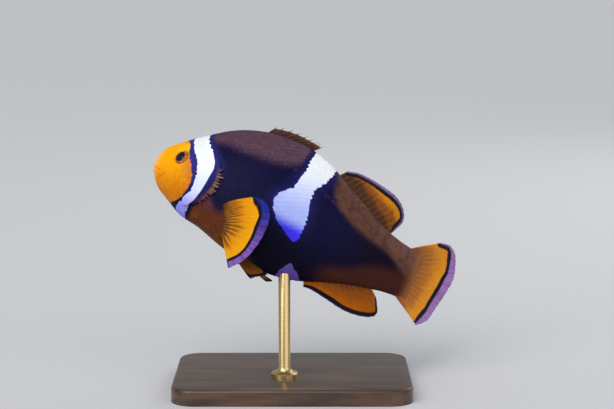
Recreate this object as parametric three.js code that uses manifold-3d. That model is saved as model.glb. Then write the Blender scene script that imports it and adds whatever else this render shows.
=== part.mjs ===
// A life-size display model of an orange clownfish (Amphiprion percula), held on a small stand.
// Units are millimetres and +Z is up. The origin is the centre of the stand's underside, and the
// fish looks along -X with its left side towards -Y.
//
// Every form is first described on a straight fish: x runs back from the snout, y to the fish's
// right and z up from its mid line. One function, posed(), then bends and tilts it all together.
import * as THREE from "three";
import { mergeVertices } from "three/addons/utils/BufferGeometryUtils.js";
import Module from "manifold-3d";

const wasm = await Module();
wasm.setup();

// ---- Driving dimensions -------------------------------------------------------------------
const BODY_LENGTH = 76; // snout tip to the root of the tail fin
const PITCH = 24.2; // degrees, head up
const ROLL = 22; // degrees, the back leaning away to the fish's right
const GAP = 0.3; // between neighbouring pieces
const MEMBRANE = 0.56; // thickness of a fin between its rays
const RAY_RISE = 0.17; // how far a ray stands out of the membrane, on each face
const FIN_ROOT = 1.6; // how deep a fin starts under the skin, before it is trimmed to it
const PAIRED_ROOT = 0.5; // the same for the fins of the flanks, which leave the skin at a slant
const SNOUT_ROUND = 0.076; // body lengths over which the snout rounds off

// Heights of the back, the belly and the widest part of each section, in body lengths, with its
// half width, from the snout to the root of the tail fin.
const BACK = [
  [0, 0.08], [0.06, 0.092], [0.12, 0.1245], [0.18, 0.157], [0.26, 0.199], [0.35, 0.225],
  [0.44, 0.233], [0.52, 0.227], [0.6, 0.205], [0.68, 0.167], [0.76, 0.134], [0.84, 0.102],
  [0.92, 0.089], [1, 0.087],
];
const BELLY = [
  [0, -0.026], [0.06, -0.071], [0.12, -0.107], [0.18, -0.1405], [0.26, -0.162], [0.36, -0.198],
  [0.46, -0.222], [0.56, -0.222], [0.64, -0.205], [0.72, -0.172], [0.8, -0.142],
  [0.88, -0.118], [0.94, -0.101], [1, -0.089],
];
const HALF_WIDTH = [
  [0, 0.054], [0.06, 0.0715], [0.12, 0.0775], [0.2, 0.094], [0.3, 0.1], [0.4, 0.098],
  [0.52, 0.086], [0.66, 0.063], [0.8, 0.04], [0.9, 0.026], [1, 0.018],
];
const WIDEST = [[0, 0.015], [0.45, -0.01], [0.7, -0.005], [1, 0]];
// The power that shapes a section: below 1 it is fuller at the flank than an ellipse, above 1
// leaner towards back and belly. It goes from the head's to the tail's over from..to.
const SECTION = { head: 0.88, tail: 1.12, from: 0.05, to: 0.5 };

// The way the spine heads, in degrees to the fish's right of straight back, seen from above.
const HEADING = [
  [0, -50], [0.18, -33], [0.36, -16], [0.52, 0], [0.72, 12], [0.88, 24], [1, 34], [1.3, 58],
];

const COLOURS = {
  face: 0xf08a12,
  dark: 0x17131c,
  brown: 0x4a2c18,
  gill: 0x7a4d22,
  fin: 0xe08a10,
  eye: 0x120c10,
  wood: 0x4a3426,
  brass: 0xb59a5b,
};

// ---- Small helpers ------------------------------------------------------------------------
const rad = THREE.MathUtils.degToRad;
const clamp = THREE.MathUtils.clamp;
const lerp = THREE.MathUtils.lerp;
const smooth = (x, low, high) => THREE.MathUtils.smoothstep(x, low, high);
const vector = (x, y, z) => new THREE.Vector3(x, y, z);

// A smooth curve through [at, value] stations, with Catmull-Rom slopes.
function along(stations, at) {
  const last = stations.length - 1;
  let i = 0;
  while (i < last - 1 && at > stations[i + 1][0]) i += 1;
  const slope = (k) => {
    const a = stations[Math.max(k - 1, 0)];
    const b = stations[Math.min(k + 1, last)];
    return (b[1] - a[1]) / (b[0] - a[0]);
  };
  const [p, q] = [stations[i], stations[i + 1]];
  const span = q[0] - p[0];
  const t = clamp((at - p[0]) / span, 0, 1);
  const t2 = t * t;
  const t3 = t2 * t;
  return (
    (2 * t3 - 3 * t2 + 1) * p[1] +
    (t3 - 2 * t2 + t) * span * slope(i) +
    (3 * t2 - 2 * t3) * q[1] +
    (t3 - t2) * span * slope(i + 1) +
    Math.max(0, at - q[0]) * slope(i + 1)
  );
}

// ---- Pose ---------------------------------------------------------------------------------
// The spine's plan, summed in short steps, holds where each x of the straight fish comes to lie.
const SPINE_STEP = 0.5;
const SPINE_STEPS = Math.ceil((1.5 * BODY_LENGTH) / SPINE_STEP);
const headingAt = (x) => rad(along(HEADING, clamp(x / BODY_LENGTH, 0, 1.3)));
const SPINE = [{ x: 0, y: 0 }];
for (let i = 0; i < SPINE_STEPS; i += 1) {
  const turn = headingAt((i + 0.5) * SPINE_STEP);
  SPINE.push({
    x: SPINE[i].x + Math.cos(turn) * SPINE_STEP,
    y: SPINE[i].y + Math.sin(turn) * SPINE_STEP,
  });
}
function tilted(x, y, z) {
  return vector(x, y, z)
    .applyAxisAngle(vector(1, 0, 0), -rad(ROLL))
    .applyAxisAngle(vector(0, 1, 0), rad(PITCH));
}
// Stiff parts keep their shape: spineAt is the x whose place and heading they take over.
function posed(p, spineAt = p.x) {
  const step = clamp(spineAt / SPINE_STEP, 0, SPINE_STEPS - 1.001);
  const i = Math.floor(step);
  const turn = headingAt(spineAt);
  const over = p.x - Math.max(spineAt, 0);
  return tilted(
    lerp(SPINE[i].x, SPINE[i + 1].x, step - i) + over * Math.cos(turn) - p.y * Math.sin(turn),
    lerp(SPINE[i].y, SPINE[i + 1].y, step - i) + over * Math.sin(turn) + p.y * Math.cos(turn),
    p.z,
  );
}

// ---- Body ---------------------------------------------------------------------------------
const size = (share) => share * BODY_LENGTH;
const widest = (u) => along(WIDEST, u);
function snoutRound(u) {
  const inward = 1 - clamp(u / SNOUT_ROUND, 0, 1);
  return Math.sqrt(Math.max(0, 1 - inward * inward));
}
const overMid = (u) => (along(BACK, u) - widest(u)) * snoutRound(u);
const underMid = (u) => (widest(u) - along(BELLY, u)) * snoutRound(u);
const backLine = (u) => size(widest(u) + overMid(u));
const bellyLine = (u) => size(widest(u) - underMid(u));

// The skin of the straight fish at u body lengths from the snout and angle round the section,
// 0 at the fish's right flank and a quarter turn at the back.
function skin(u, angle) {
  const across = Math.cos(angle);
  const up = Math.sin(angle);
  const power = lerp(SECTION.head, SECTION.tail, smooth(u, SECTION.from, SECTION.to));
  const width = along(HALF_WIDTH, u) * snoutRound(u);
  const reach = Math.sign(across) * Math.abs(across) ** power;
  const height = up * (up > 0 ? overMid(u) : underMid(u));
  return vector(size(u), size(width * reach), size(widest(u) + height));
}
function skinNormal(u, angle) {
  const e = 1e-3;
  if (u < e) return vector(-1, 0, 0);
  const run = skin(Math.min(u + e, 1), angle).sub(skin(Math.max(u - e, 1e-6), angle));
  const round = skin(u, angle + e).sub(skin(u, angle - e));
  return round.cross(run).normalize();
}
// The flank's skin at u and height z, on the side -1 (left) or 1 (right), moved out by rise.
function flank(u, z, side, rise = 0) {
  const h = z / BODY_LENGTH - widest(u);
  const up = clamp(h / (h > 0 ? overMid(u) : underMid(u)), -0.999, 0.999);
  const angle = side > 0 ? Math.asin(up) : Math.PI - Math.asin(up);
  return skin(u, angle).addScaledVector(skinNormal(u, angle), rise);
}

// ---- Solids -------------------------------------------------------------------------------
function solidOf(geometry) {
  const bare = geometry.clone();
  bare.deleteAttribute("normal");
  bare.deleteAttribute("uv");
  const merged = mergeVertices(bare, 1e-4);
  return new wasm.Manifold(
    new wasm.Mesh({
      numProp: 3,
      vertProperties: merged.attributes.position.array,
      triVerts: new Uint32Array(merged.index.array),
    }),
  );
}
const SLIVER = 0.012; // edges shorter than this are closed up
function geometryOf(solid) {
  const mesh = solid.simplify(SLIVER).getMesh();
  const geometry = new THREE.BufferGeometry();
  geometry.setAttribute("position", new THREE.BufferAttribute(mesh.vertProperties, 3));
  geometry.setIndex(new THREE.BufferAttribute(mesh.triVerts, 1));
  geometry.computeVertexNormals();
  return geometry;
}
const largest = (solid) =>
  solid.decompose().reduce((a, b) => (b.volume() > a.volume() ? b : a));

// A closed surface from a grid of rings between two end points. place(i, j) gives each corner
// of the straight fish, and ends are the points that close the first and the last ring.
function loft(rings, around, place, ends) {
  const points = [ends[0]];
  for (let i = 0; i < rings; i += 1) {
    for (let j = 0; j < around; j += 1) points.push(place(i, j));
  }
  points.push(ends[1]);
  const faces = [];
  const at = (i, j) => 1 + i * around + (j % around);
  for (let j = 0; j < around; j += 1) {
    faces.push(0, at(0, j + 1), at(0, j));
    faces.push(points.length - 1, at(rings - 1, j), at(rings - 1, j + 1));
    for (let i = 0; i < rings - 1; i += 1) {
      faces.push(at(i, j), at(i, j + 1), at(i + 1, j));
      faces.push(at(i + 1, j), at(i, j + 1), at(i + 1, j + 1));
    }
  }
  return posedSolid(points, faces);
}
function posedSolid(points, faces, stiffAt) {
  const flat = points.map((p) => posed(p, stiffAt)).flatMap((p) => [p.x, p.y, p.z]);
  const geometry = new THREE.BufferGeometry();
  geometry.setAttribute("position", new THREE.Float32BufferAttribute(flat, 3));
  geometry.setIndex(faces);
  const solid = solidOf(geometry);
  return solid.volume() < 0 ? posedSolid(points, [...faces].reverse(), stiffAt) : solid;
}

// A thin plate from two like sheets, split into triangles the same way on both faces.
// sheet(i, j) gives {mid, normal, half}.
function plate(columns, rows, sheet, stiffAt) {
  const points = [];
  for (const face of [-1, 1]) {
    for (let j = 0; j < rows; j += 1) {
      for (let i = 0; i < columns; i += 1) {
        const { mid, normal, half: thick } = sheet(i, j);
        points.push(mid.clone().addScaledVector(normal, face * thick));
      }
    }
  }
  const at = (i, j, face) => face * rows * columns + j * columns + i;
  const faces = [];
  const quad = (a, b, c, d) => faces.push(a, b, c, a, c, d);
  for (let j = 0; j < rows - 1; j += 1) {
    for (let i = 0; i < columns - 1; i += 1) {
      faces.push(at(i, j, 1), at(i + 1, j, 1), at(i + 1, j + 1, 1));
      faces.push(at(i, j, 1), at(i + 1, j + 1, 1), at(i, j + 1, 1));
      faces.push(at(i, j, 0), at(i + 1, j + 1, 0), at(i + 1, j, 0));
      faces.push(at(i, j, 0), at(i, j + 1, 0), at(i + 1, j + 1, 0));
    }
  }
  for (let i = 0; i < columns - 1; i += 1) {
    quad(at(i, 0, 0), at(i + 1, 0, 0), at(i + 1, 0, 1), at(i, 0, 1));
    quad(at(i, rows - 1, 1), at(i + 1, rows - 1, 1), at(i + 1, rows - 1, 0), at(i, rows - 1, 0));
  }
  for (let j = 0; j < rows - 1; j += 1) {
    quad(at(0, j, 1), at(0, j + 1, 1), at(0, j + 1, 0), at(0, j, 0));
    const c = columns - 1;
    quad(at(c, j, 0), at(c, j + 1, 0), at(c, j + 1, 1), at(c, j, 1));
  }
  return posedSolid(points, faces, stiffAt);
}

// A tapered tube along points of the straight fish, closed at both ends.
function taperedTube(path, radius, sides) {
  const rings = path.length;
  return loft(
    rings,
    sides,
    (i, j) => {
      const ahead = path[Math.min(i + 1, rings - 1)];
      const behind = path[Math.max(i - 1, 0)];
      const run = ahead.clone().sub(behind).normalize();
      const side = vector(0, 0, 1).cross(run).normalize();
      const up = run.clone().cross(side);
      const angle = (2 * Math.PI * j) / sides;
      return path[i]
        .clone()
        .addScaledVector(side, radius(i / (rings - 1)) * Math.cos(angle))
        .addScaledVector(up, radius(i / (rings - 1)) * Math.sin(angle));
    },
    [path[0], path[rings - 1]],
  );
}

// A rounded button of the straight fish, spread in the skin's plane and set along its normal.
function button(centre, normal, spread, depth, around = 18, rings = 7) {
  const first = vector(0, 0, 1).cross(normal).normalize();
  const second = normal.clone().cross(first);
  return loft(
    rings,
    around,
    (i, j) => {
      const down = (Math.PI * (i + 1)) / (rings + 1);
      const turn = (2 * Math.PI * j) / around;
      return centre
        .clone()
        .addScaledVector(normal, depth * Math.cos(down))
        .addScaledVector(first, spread * Math.sin(down) * Math.cos(turn))
        .addScaledVector(second, spread * Math.sin(down) * Math.sin(turn));
    },
    [
      centre.clone().addScaledVector(normal, depth),
      centre.clone().addScaledVector(normal, -depth),
    ],
  );
}

// A cut one gap wide right through the body, at x = edge(z) of the straight fish.
function parting(edge) {
  const reach = { across: 0.16 * BODY_LENGTH, up: 0.4 * BODY_LENGTH };
  const columns = 27;
  const rows = 7;
  return plate(columns, rows, (i, j) => {
    const z = lerp(-reach.up, reach.up, i / (columns - 1));
    const y = lerp(-reach.across, reach.across, j / (rows - 1));
    return { mid: vector(edge(z), y, z), normal: vector(1, 0, 0), half: GAP / 2 };
  });
}

// ---- The body, whole and grown by the gap ---------------------------------------------------
const AROUND = 34;
const SNOUT_RINGS = 6;
const BODY_RINGS = 26;
const ringAt = (i) =>
  i < SNOUT_RINGS
    ? SNOUT_ROUND * (1 - Math.cos(((i + 1) / SNOUT_RINGS) * (Math.PI / 2)))
    : lerp(SNOUT_ROUND, 1, (i + 1 - SNOUT_RINGS) / BODY_RINGS);
function body(grow) {
  return loft(
    SNOUT_RINGS + BODY_RINGS,
    AROUND,
    (i, j) => {
      const u = ringAt(i);
      const angle = (2 * Math.PI * (j + 0.5)) / AROUND;
      const point = skin(u, angle).addScaledVector(skinNormal(u, angle), grow);
      if (i === SNOUT_RINGS + BODY_RINGS - 1) point.x += grow;
      return point;
    },
    [vector(-grow, 0, size(widest(0))), vector(BODY_LENGTH + grow, 0, size(widest(1)))],
  );
}
const wholeBody = body(0);
const grownBody = body(GAP);

// ---- Gill covers ----------------------------------------------------------------------------
// Each is a crescent plate round the cheek, its rear edge cut into small backward spines.
// at and z are its centre, long and tall its half axes, all in body lengths, and from and to the
// degrees it runs through. inner and horn are where its inner edge lies, as shares of the half
// axes, at the middle of the crescent and at its two ends.
const GILL = { at: 0.215, z: -0.018, long: 0.088, tall: 0.1, from: -96, to: 60 };
const GILL_INNER = { inner: 0.5, horn: 0.9 };
const GILL_PLATE = { thick: 0.9, thin: 0.54, rise: 0.3, spine: 1.1, bedTop: 2.5 };
function gillPoint(share, turn, side, rise, reach = 0) {
  const x = size(GILL.at) + (size(GILL.long) * share + reach) * Math.cos(turn);
  const z = size(GILL.z) + (size(GILL.tall) * share + reach) * Math.sin(turn);
  return flank(x / BODY_LENGTH, z, side, rise);
}
const gillInner = (t) => lerp(GILL_INNER.inner, GILL_INNER.horn, Math.abs(2 * t - 1) ** 3);
function between(outer, inner) {
  const normal = outer.clone().sub(inner);
  const thick = normal.length() / 2;
  return { mid: outer.add(inner).multiplyScalar(0.5), normal: normal.normalize(), half: thick };
}
function gillCover(side) {
  const columns = 35;
  const rows = 4;
  return plate(columns, rows, (i, j) => {
    const t = i / (columns - 1);
    const turn = rad(lerp(GILL.from, GILL.to, t));
    const strong = smooth(t, 0.15, 0.3) * (1 - smooth(t, 0.78, 0.95));
    const spine = j === rows - 1 && i % 2 ? GILL_PLATE.spine * strong : 0;
    const share = lerp(gillInner(t), 1, j / (rows - 1));
    const thick = lerp(GILL_PLATE.thick, GILL_PLATE.thin, j / (rows - 1));
    return between(
      gillPoint(share, turn, side, GILL_PLATE.rise, spine),
      gillPoint(share, turn, side, GILL_PLATE.rise - thick, spine),
    );
  });
}
function gillBed(side) {
  const columns = 24;
  const rows = 4;
  const border = GAP / size(GILL.long);
  return plate(columns, rows, (i, j) => {
    const t = i / (columns - 1);
    const turn = lerp(rad(GILL.from) - border, rad(GILL.to) + border, t);
    const strong = smooth(t, 0.1, 0.25) * (1 - smooth(t, 0.83, 0.98));
    const reach = lerp(GAP, GILL_PLATE.spine * strong + GAP, j / (rows - 1));
    const share = lerp(gillInner(t) - 2 * border, 1, j / (rows - 1));
    return between(
      gillPoint(share, turn, side, GILL_PLATE.bedTop, reach),
      gillPoint(share, turn, side, GILL_PLATE.rise - GILL_PLATE.thick - GAP, reach),
    );
  });
}

// ---- Where the body is parted -----------------------------------------------------------------
// The head ends along the rear edge of the gill opening, which sweeps forward over and under it.
const PARTING = { head: 0.34, sweepUp: 1.6, sweepDown: 4.2, stalk: 0.83 };
function gillEdge(z) {
  const h = z / BODY_LENGTH;
  return size(PARTING.head - (h > 0 ? PARTING.sweepUp : PARTING.sweepDown) * h * h);
}
const stalkEdge = () => size(PARTING.stalk);
const [headBlock, trunkBlock, stalkBlock] = wholeBody
  .subtract(parting(gillEdge))
  .subtract(parting(stalkEdge))
  .decompose()
  .sort((a, b) => a.boundingBox().min[0] - b.boundingBox().min[0]);

// ---- Head -------------------------------------------------------------------------------------
const EYE = { at: 0.149, z: 0.033, spread: 2.1, depth: 1.6, sunk: 0.85 };
const ORBIT = { spread: 2.75, depth: 1.0, sunk: 0.6 };
function eyeSeat(side) {
  const seat = flank(EYE.at, size(EYE.z), side);
  const out = flank(EYE.at, size(EYE.z), side, 1).sub(seat);
  return { seat, out };
}
function eyeBall(side, grow) {
  const { seat, out } = eyeSeat(side);
  return button(seat.addScaledVector(out, -EYE.sunk), out, EYE.spread + grow, EYE.depth + grow);
}
function orbitRim(side) {
  const { seat, out } = eyeSeat(side);
  return button(seat.addScaledVector(out, -ORBIT.sunk), out, ORBIT.spread, ORBIT.depth);
}

// The lips follow the snout at the mouth's slant, from one corner round the front to the other.
const MOUTH = { z: 0.006, start: 0.4, length: 6.6, slant: 14, open: 0.2 };
const LIP = { radius: 0.6, apart: 0.66, sunk: 0.35, cornerApart: 0.45, cornerSunk: 0.5 };
const mouthHeight = (run) => size(MOUTH.z) - Math.max(0, run) * Math.tan(rad(MOUTH.slant));
function lip(way) {
  const steps = 12;
  const path = [];
  for (let k = 0; k <= steps; k += 1) {
    const share = (2 * k) / steps - 1;
    const run = MOUTH.length * (1 - Math.cos((share * Math.PI) / 2)) + MOUTH.start;
    const front = 1 - Math.abs(share) ** 3;
    const z = mouthHeight(run) + way * LIP.apart * lerp(LIP.cornerApart, 1, front);
    const sunk = lerp(LIP.cornerSunk, LIP.sunk, front);
    const point = flank(run / BODY_LENGTH, z, Math.sign(share), -sunk);
    if (k === steps / 2) point.y = 0;
    path.push(point);
  }
  return taperedTube(path, (t) => LIP.radius * lerp(0.5, 1, Math.sin(Math.PI * t)), 8);
}
function mouthCut() {
  const columns = 8;
  return plate(columns, 2, (i, j) => {
    const run = lerp(-3, MOUTH.length * 0.92, i / (columns - 1));
    return {
      mid: vector(run, j ? 9 : -9, mouthHeight(run)),
      normal: vector(0, 0, 1),
      half: MOUTH.open * (i === columns - 1 ? 0.3 : 1),
    };
  });
}
const NOSTRIL = { at: 0.098, z: 0.048, spread: 0.5, depth: 0.6 };
function nostril(side) {
  const at = flank(NOSTRIL.at, size(NOSTRIL.z), side);
  const out = flank(NOSTRIL.at, size(NOSTRIL.z), side, 1).sub(at);
  return button(at, out, NOSTRIL.spread, NOSTRIL.depth, 10, 5);
}

let head = headBlock;
for (const piece of [lip(1), lip(-1), orbitRim(-1), orbitRim(1)]) head = head.add(piece);
for (const side of [-1, 1]) {
  head = head.subtract(gillBed(side)).subtract(eyeBall(side, GAP)).subtract(nostril(side));
}
head = largest(head.subtract(mouthCut()));
const trunk = largest(trunkBlock.subtract(gillBed(-1)).subtract(gillBed(1)));
const tailStalk = stalkBlock;

// ---- Fins -------------------------------------------------------------------------------------
// A fin is a membrane with its rays raised in its own surface. root(a) and tip(a) are the ends of
// the line at share a from the first ray to the last. lean(a, r) and bow(a, r) are how far the
// membrane lies to the side of and over that line at share r of it, and notch is how much it
// falls short of the tips between two rays.
const RAY_SHARE = 0.27; // half the width of a ray, as a share of the spacing of the rays
const TIP_THIN = 0.72; // thickness at the outer edge, as a share of that at the root
function fin({ rays, rows, root, tip, lean, bow = () => 0, notch = 0, stiffAt }) {
  const lines = [];
  const pitch = 1 / (rays - 1);
  for (let k = 0; k < rays; k += 1) {
    if (k > 0) lines.push({ a: (k - RAY_SHARE) * pitch, crest: 0 });
    lines.push({ a: k * pitch, crest: 1 });
    if (k < rays - 1) lines.push({ a: (k + RAY_SHARE) * pitch, crest: 0 });
  }
  const place = (a, r) => {
    const point = root(a).lerp(tip(a), r);
    point.y += lean(a, r);
    point.z += bow(a, r);
    return point;
  };
  return plate(
    lines.length,
    rows,
    (i, j) => {
      const { a, crest } = lines[i];
      const r = ((crest ? 1 : 1 - notch) * j) / (rows - 1);
      const e = 1e-3;
      const across = place(Math.min(a + e, 1), r).sub(place(Math.max(a - e, 0), r));
      const out = place(a, r + e).sub(place(a, Math.max(r - e, 0)));
      const thin = lerp(1, TIP_THIN, r);
      return {
        mid: place(a, r),
        normal: across.cross(out).normalize(),
        half: thin * (MEMBRANE / 2 + crest * RAY_RISE),
      };
    },
    stiffAt,
  );
}
const onBack = (u, sink) => vector(size(u), 0, backLine(u) - sink);
const onBelly = (u, sink) => vector(size(u), 0, bellyLine(u) + sink);
// How far the outer edge of each fin lies to the fish's right of its root.
const SWAY = { tail: -0.8, spiny: -0.9, soft: 1.8, anal: 1.2 };
// How far each fin bellies out between its root and its outer edge.
const BELLYING = { tail: 1.1, pectoral: 1.3, pelvic: 0.8 };

// The outer edge of a fin, from stations [share, u, height] in body lengths.
const edge = (stations) => (a) =>
  vector(
    size(along(stations.map(([at, u]) => [at, u]), a)),
    0,
    size(along(stations.map(([at, , z]) => [at, z]), a)),
  );

const TAIL_ROOT = 0.078; // half the height of the tail fin's root, in body lengths
const TAIL_EDGE = [
  [0, 1.1, 0.163], [0.13, 1.16, 0.179], [0.26, 1.222, 0.166], [0.41, 1.258, 0.107],
  [0.53, 1.252, 0.053], [0.64, 1.24, 0], [0.76, 1.22, -0.05], [0.86, 1.196, -0.092],
  [1, 1.143, -0.134],
];
const tailFin = fin({
  rays: 17,
  rows: 7,
  root: (a) => vector(BODY_LENGTH - FIN_ROOT, 0, size(lerp(TAIL_ROOT, -TAIL_ROOT, a))),
  tip: edge(TAIL_EDGE),
  lean: (a, r) =>
    BELLYING.tail * Math.sin(Math.PI * r) * Math.sin(Math.PI * a) + SWAY.tail * r,
});

// The spiny part of the dorsal fin lies folded back, its spines' tips free of the membrane.
// Lengths and heights over the back are in body lengths, first at the front, then full, and the
// last spines are shorter again.
const SPINY = { from: 0.335, to: 0.505, notch: 0.2 };
const SPINE_LENGTH = { first: 0.047, full: 0.08, lastLess: 0.035 };
const SPINE_OVER = { first: 0.027, full: 0.032 };
const dorsalSpiny = fin({
  rays: 10,
  rows: 4,
  root: (a) => onBack(lerp(SPINY.from, SPINY.to, a), FIN_ROOT),
  tip: (a) => {
    const u = lerp(SPINY.from, SPINY.to, a);
    const full = lerp(SPINE_LENGTH.first, SPINE_LENGTH.full, smooth(a, 0, 0.5));
    const length = full - SPINE_LENGTH.lastLess * smooth(a, 0.6, 1);
    const over = lerp(SPINE_OVER.first, SPINE_OVER.full, smooth(a, 0, 0.4));
    return onBack(u + length, 0).add(vector(0, 0, size(over)));
  },
  lean: (a, r) => SWAY.spiny * r * r,
  notch: SPINY.notch,
});

const SOFT = { from: 0.625, to: 0.868 };
const SOFT_EDGE = [
  [0, 0.66, 0.218], [0.1, 0.7, 0.23], [0.28, 0.76, 0.2335], [0.46, 0.815, 0.229],
  [0.64, 0.874, 0.219], [0.8, 0.917, 0.195], [0.92, 0.93, 0.157], [1, 0.905, 0.107],
];
const dorsalSoft = fin({
  rays: 15,
  rows: 7,
  root: (a) => onBack(lerp(SOFT.from, SOFT.to, a), FIN_ROOT),
  tip: edge(SOFT_EDGE),
  lean: (a, r) => SWAY.soft * r * r,
});

const ANAL = { from: 0.655, to: 0.868 };
const ANAL_EDGE = [
  [0, 0.672, -0.21], [0.12, 0.7, -0.207], [0.3, 0.765, -0.212], [0.5, 0.84, -0.219],
  [0.66, 0.9, -0.211], [0.8, 0.955, -0.19], [0.92, 0.972, -0.163], [1, 0.945, -0.125],
];
const analFin = fin({
  rays: 13,
  rows: 7,
  root: (a) => onBelly(lerp(ANAL.from, ANAL.to, a), FIN_ROOT),
  tip: edge(ANAL_EDGE),
  lean: (a, r) => SWAY.anal * r * r,
});

// A pectoral fin fans out from behind the gill cover. Its rays keep a fan of their own, splay
// degrees off the flank and raised by lift degrees. Stations are [share, degrees up, length], the
// length in body lengths. The first rays bow upwards and away from the flank.
const PECTORAL = [
  [0, 19, 0.148], [0.12, 19.2, 0.169], [0.25, 18, 0.188], [0.4, 14, 0.206], [0.55, 8.1, 0.212],
  [0.7, -0.5, 0.202], [0.82, -12.8, 0.189], [0.92, -29.3, 0.174], [1, -49.7, 0.148],
];
const PECTORAL_BOW = { up: 0.8, out: 1.6 };
const PECTORAL_ROOT = { at: [0.334, 0.362], z: [-0.095, -0.168], stiffAt: 0.35 };
function pectoralFin(side, splay, lift) {
  const { at, z, stiffAt } = PECTORAL_ROOT;
  const root = (a, rise) => flank(lerp(...at, a), size(lerp(...z, a)), side, rise);
  const outward = vector(Math.cos(rad(splay)), side * Math.sin(rad(splay)), 0);
  return fin({
    rays: 16,
    rows: 7,
    stiffAt: size(stiffAt),
    root: (a) => root(a, -PAIRED_ROOT),
    tip: (a) => {
      const up = rad(along(PECTORAL.map(([share, turn]) => [share, turn]), a) + lift);
      const length = size(along(PECTORAL.map(([share, , long]) => [share, long]), a));
      return root(a, 0)
        .addScaledVector(outward, length * Math.cos(up))
        .add(vector(0, 0, length * Math.sin(up)));
    },
    lean: (a, r) => {
      const belly = BELLYING.pectoral * Math.sin(Math.PI * r) * Math.sin(Math.PI * a);
      return side * (belly + PECTORAL_BOW.out * (1 - a) ** 1.5 * Math.sin((Math.PI / 2) * r));
    },
    bow: (a, r) => PECTORAL_BOW.up * (1 - a) ** 1.5 * Math.sin(Math.PI * r ** 0.6),
  });
}

// A pelvic fin hangs under the breast and points back, close along the belly. Its lengths, and
// its degrees down and outward, are those of its first ray and its last.
const PELVIC_ROOT = { at: [0.345, 0.38], z: [-0.178, -0.2], stiffAt: 0.36 };
const PELVIC_LENGTH = [0.202, 0.184];
function pelvicFin(side, down, outward) {
  const { at, z, stiffAt } = PELVIC_ROOT;
  const root = (a, rise) => flank(lerp(...at, a), size(lerp(...z, a)), side, rise);
  return fin({
    rays: 6,
    rows: 6,
    stiffAt: size(stiffAt),
    root: (a) => root(a, -PAIRED_ROOT),
    tip: (a) => {
      const length = size(lerp(...PELVIC_LENGTH, a ** 1.5));
      const dip = rad(lerp(...down, a));
      const turn = rad(lerp(...outward, a));
      return root(a, 0).add(
        vector(
          length * Math.cos(dip) * Math.cos(turn),
          side * length * Math.sin(turn),
          -length * Math.sin(dip),
        ),
      );
    },
    lean: (a, r) => side * BELLYING.pelvic * Math.sin(Math.PI * r),
  });
}
const onBody = (solid) => largest(solid.subtract(grownBody));
// Degrees by which the fins of each side are splayed off the body, raised, and held down and
// outward. The left ones are open, the right pectoral is on its way up and the pelvic folded.
const SPREAD = {
  left: { splay: 31, raised: 0, down: [31, 13], outward: [14, 9] },
  right: { splay: 34, raised: 20, down: [18, 11], outward: [11, 9] },
};
const sideFins = [["left", -1], ["right", 1]].flatMap(([name, side]) => {
  const { splay, raised, down, outward } = SPREAD[name];
  return [
    [`pectoral_fin_${name}`, onBody(pectoralFin(side, splay, raised)), COLOURS.fin],
    [`pelvic_fin_${name}`, onBody(pelvicFin(side, down, outward)), COLOURS.fin],
  ];
});

// ---- Stand and assembly -------------------------------------------------------------------------
const STAND = { long: 60, deep: 42, thick: 4, corner: 6, clearance: 25 };
// The rod meets the belly at a share of the body's length, and is cut to it from a longer one.
const ROD = { at: 0.6, radius: 1.5, x: -2, y: -6, spare: 8 };
const rodTop = posed(onBelly(ROD.at, 0));
const lift = vector(ROD.x, ROD.y, STAND.thick + STAND.clearance).sub(rodTop);

function standBase() {
  const [x, y, r] = [STAND.long / 2, STAND.deep / 2, STAND.corner];
  const outline = new THREE.Shape();
  outline.moveTo(-x + r, -y);
  outline.lineTo(x - r, -y);
  outline.absarc(x - r, -y + r, r, -Math.PI / 2, 0);
  outline.absarc(x - r, y - r, r, 0, Math.PI / 2);
  outline.absarc(-x + r, y - r, r, Math.PI / 2, Math.PI);
  outline.absarc(-x + r, -y + r, r, Math.PI, 1.5 * Math.PI);
  const slab = new THREE.ExtrudeGeometry(outline, {
    depth: STAND.thick,
    bevelEnabled: false,
    curveSegments: 6,
  });
  return solidOf(slab);
}
function standRod() {
  const tall = STAND.clearance + ROD.spare;
  const rod = new THREE.CylinderGeometry(ROD.radius, ROD.radius, tall, 20);
  rod.rotateX(Math.PI / 2);
  rod.translate(ROD.x, ROD.y, STAND.thick + GAP + tall / 2);
  return largest(solidOf(rod).subtract(grownBody.translate(lift.x, lift.y, lift.z)));
}

const root = new THREE.Group();
function show(name, solid, colour, roughness = 0.5, metalness = 0) {
  const material = new THREE.MeshStandardMaterial({ color: colour, roughness, metalness });
  const mesh = new THREE.Mesh(geometryOf(solid), material);
  mesh.name = name;
  root.add(mesh);
  return mesh;
}
const fish = [
  ["head", head, COLOURS.face],
  ["trunk", trunk, COLOURS.dark],
  ["tail_stalk", tailStalk, COLOURS.brown],
  ["gill_cover_left", gillCover(-1), COLOURS.gill],
  ["gill_cover_right", gillCover(1), COLOURS.gill],
  ["eye_left", eyeBall(-1, 0), COLOURS.eye],
  ["eye_right", eyeBall(1, 0), COLOURS.eye],
  ["dorsal_fin_spiny", onBody(dorsalSpiny), COLOURS.brown],
  ["dorsal_fin_soft", onBody(dorsalSoft), COLOURS.fin],
  ["anal_fin", onBody(analFin), COLOURS.fin],
  ["tail_fin", onBody(tailFin), COLOURS.fin],
  ...sideFins,
];
for (const [name, solid, colour] of fish) {
  show(name, solid.translate(lift.x, lift.y, lift.z), colour);
}
show("stand_base", standBase(), COLOURS.wood, 0.4);
show("stand_rod", standRod(), COLOURS.brass, 0.3, 1);

export default root;
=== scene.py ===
# %% [markdown]
# # A display model of an orange clownfish
#
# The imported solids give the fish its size, its pose and its stand. This lesson dresses them: one
# skin over the whole body, a coat of scales, fins with rays, eyes that catch the light, and a
# turned stand. Everything is in metres, with the origin under the middle of the stand.

# %% Load the fixed frame
import math

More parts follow.
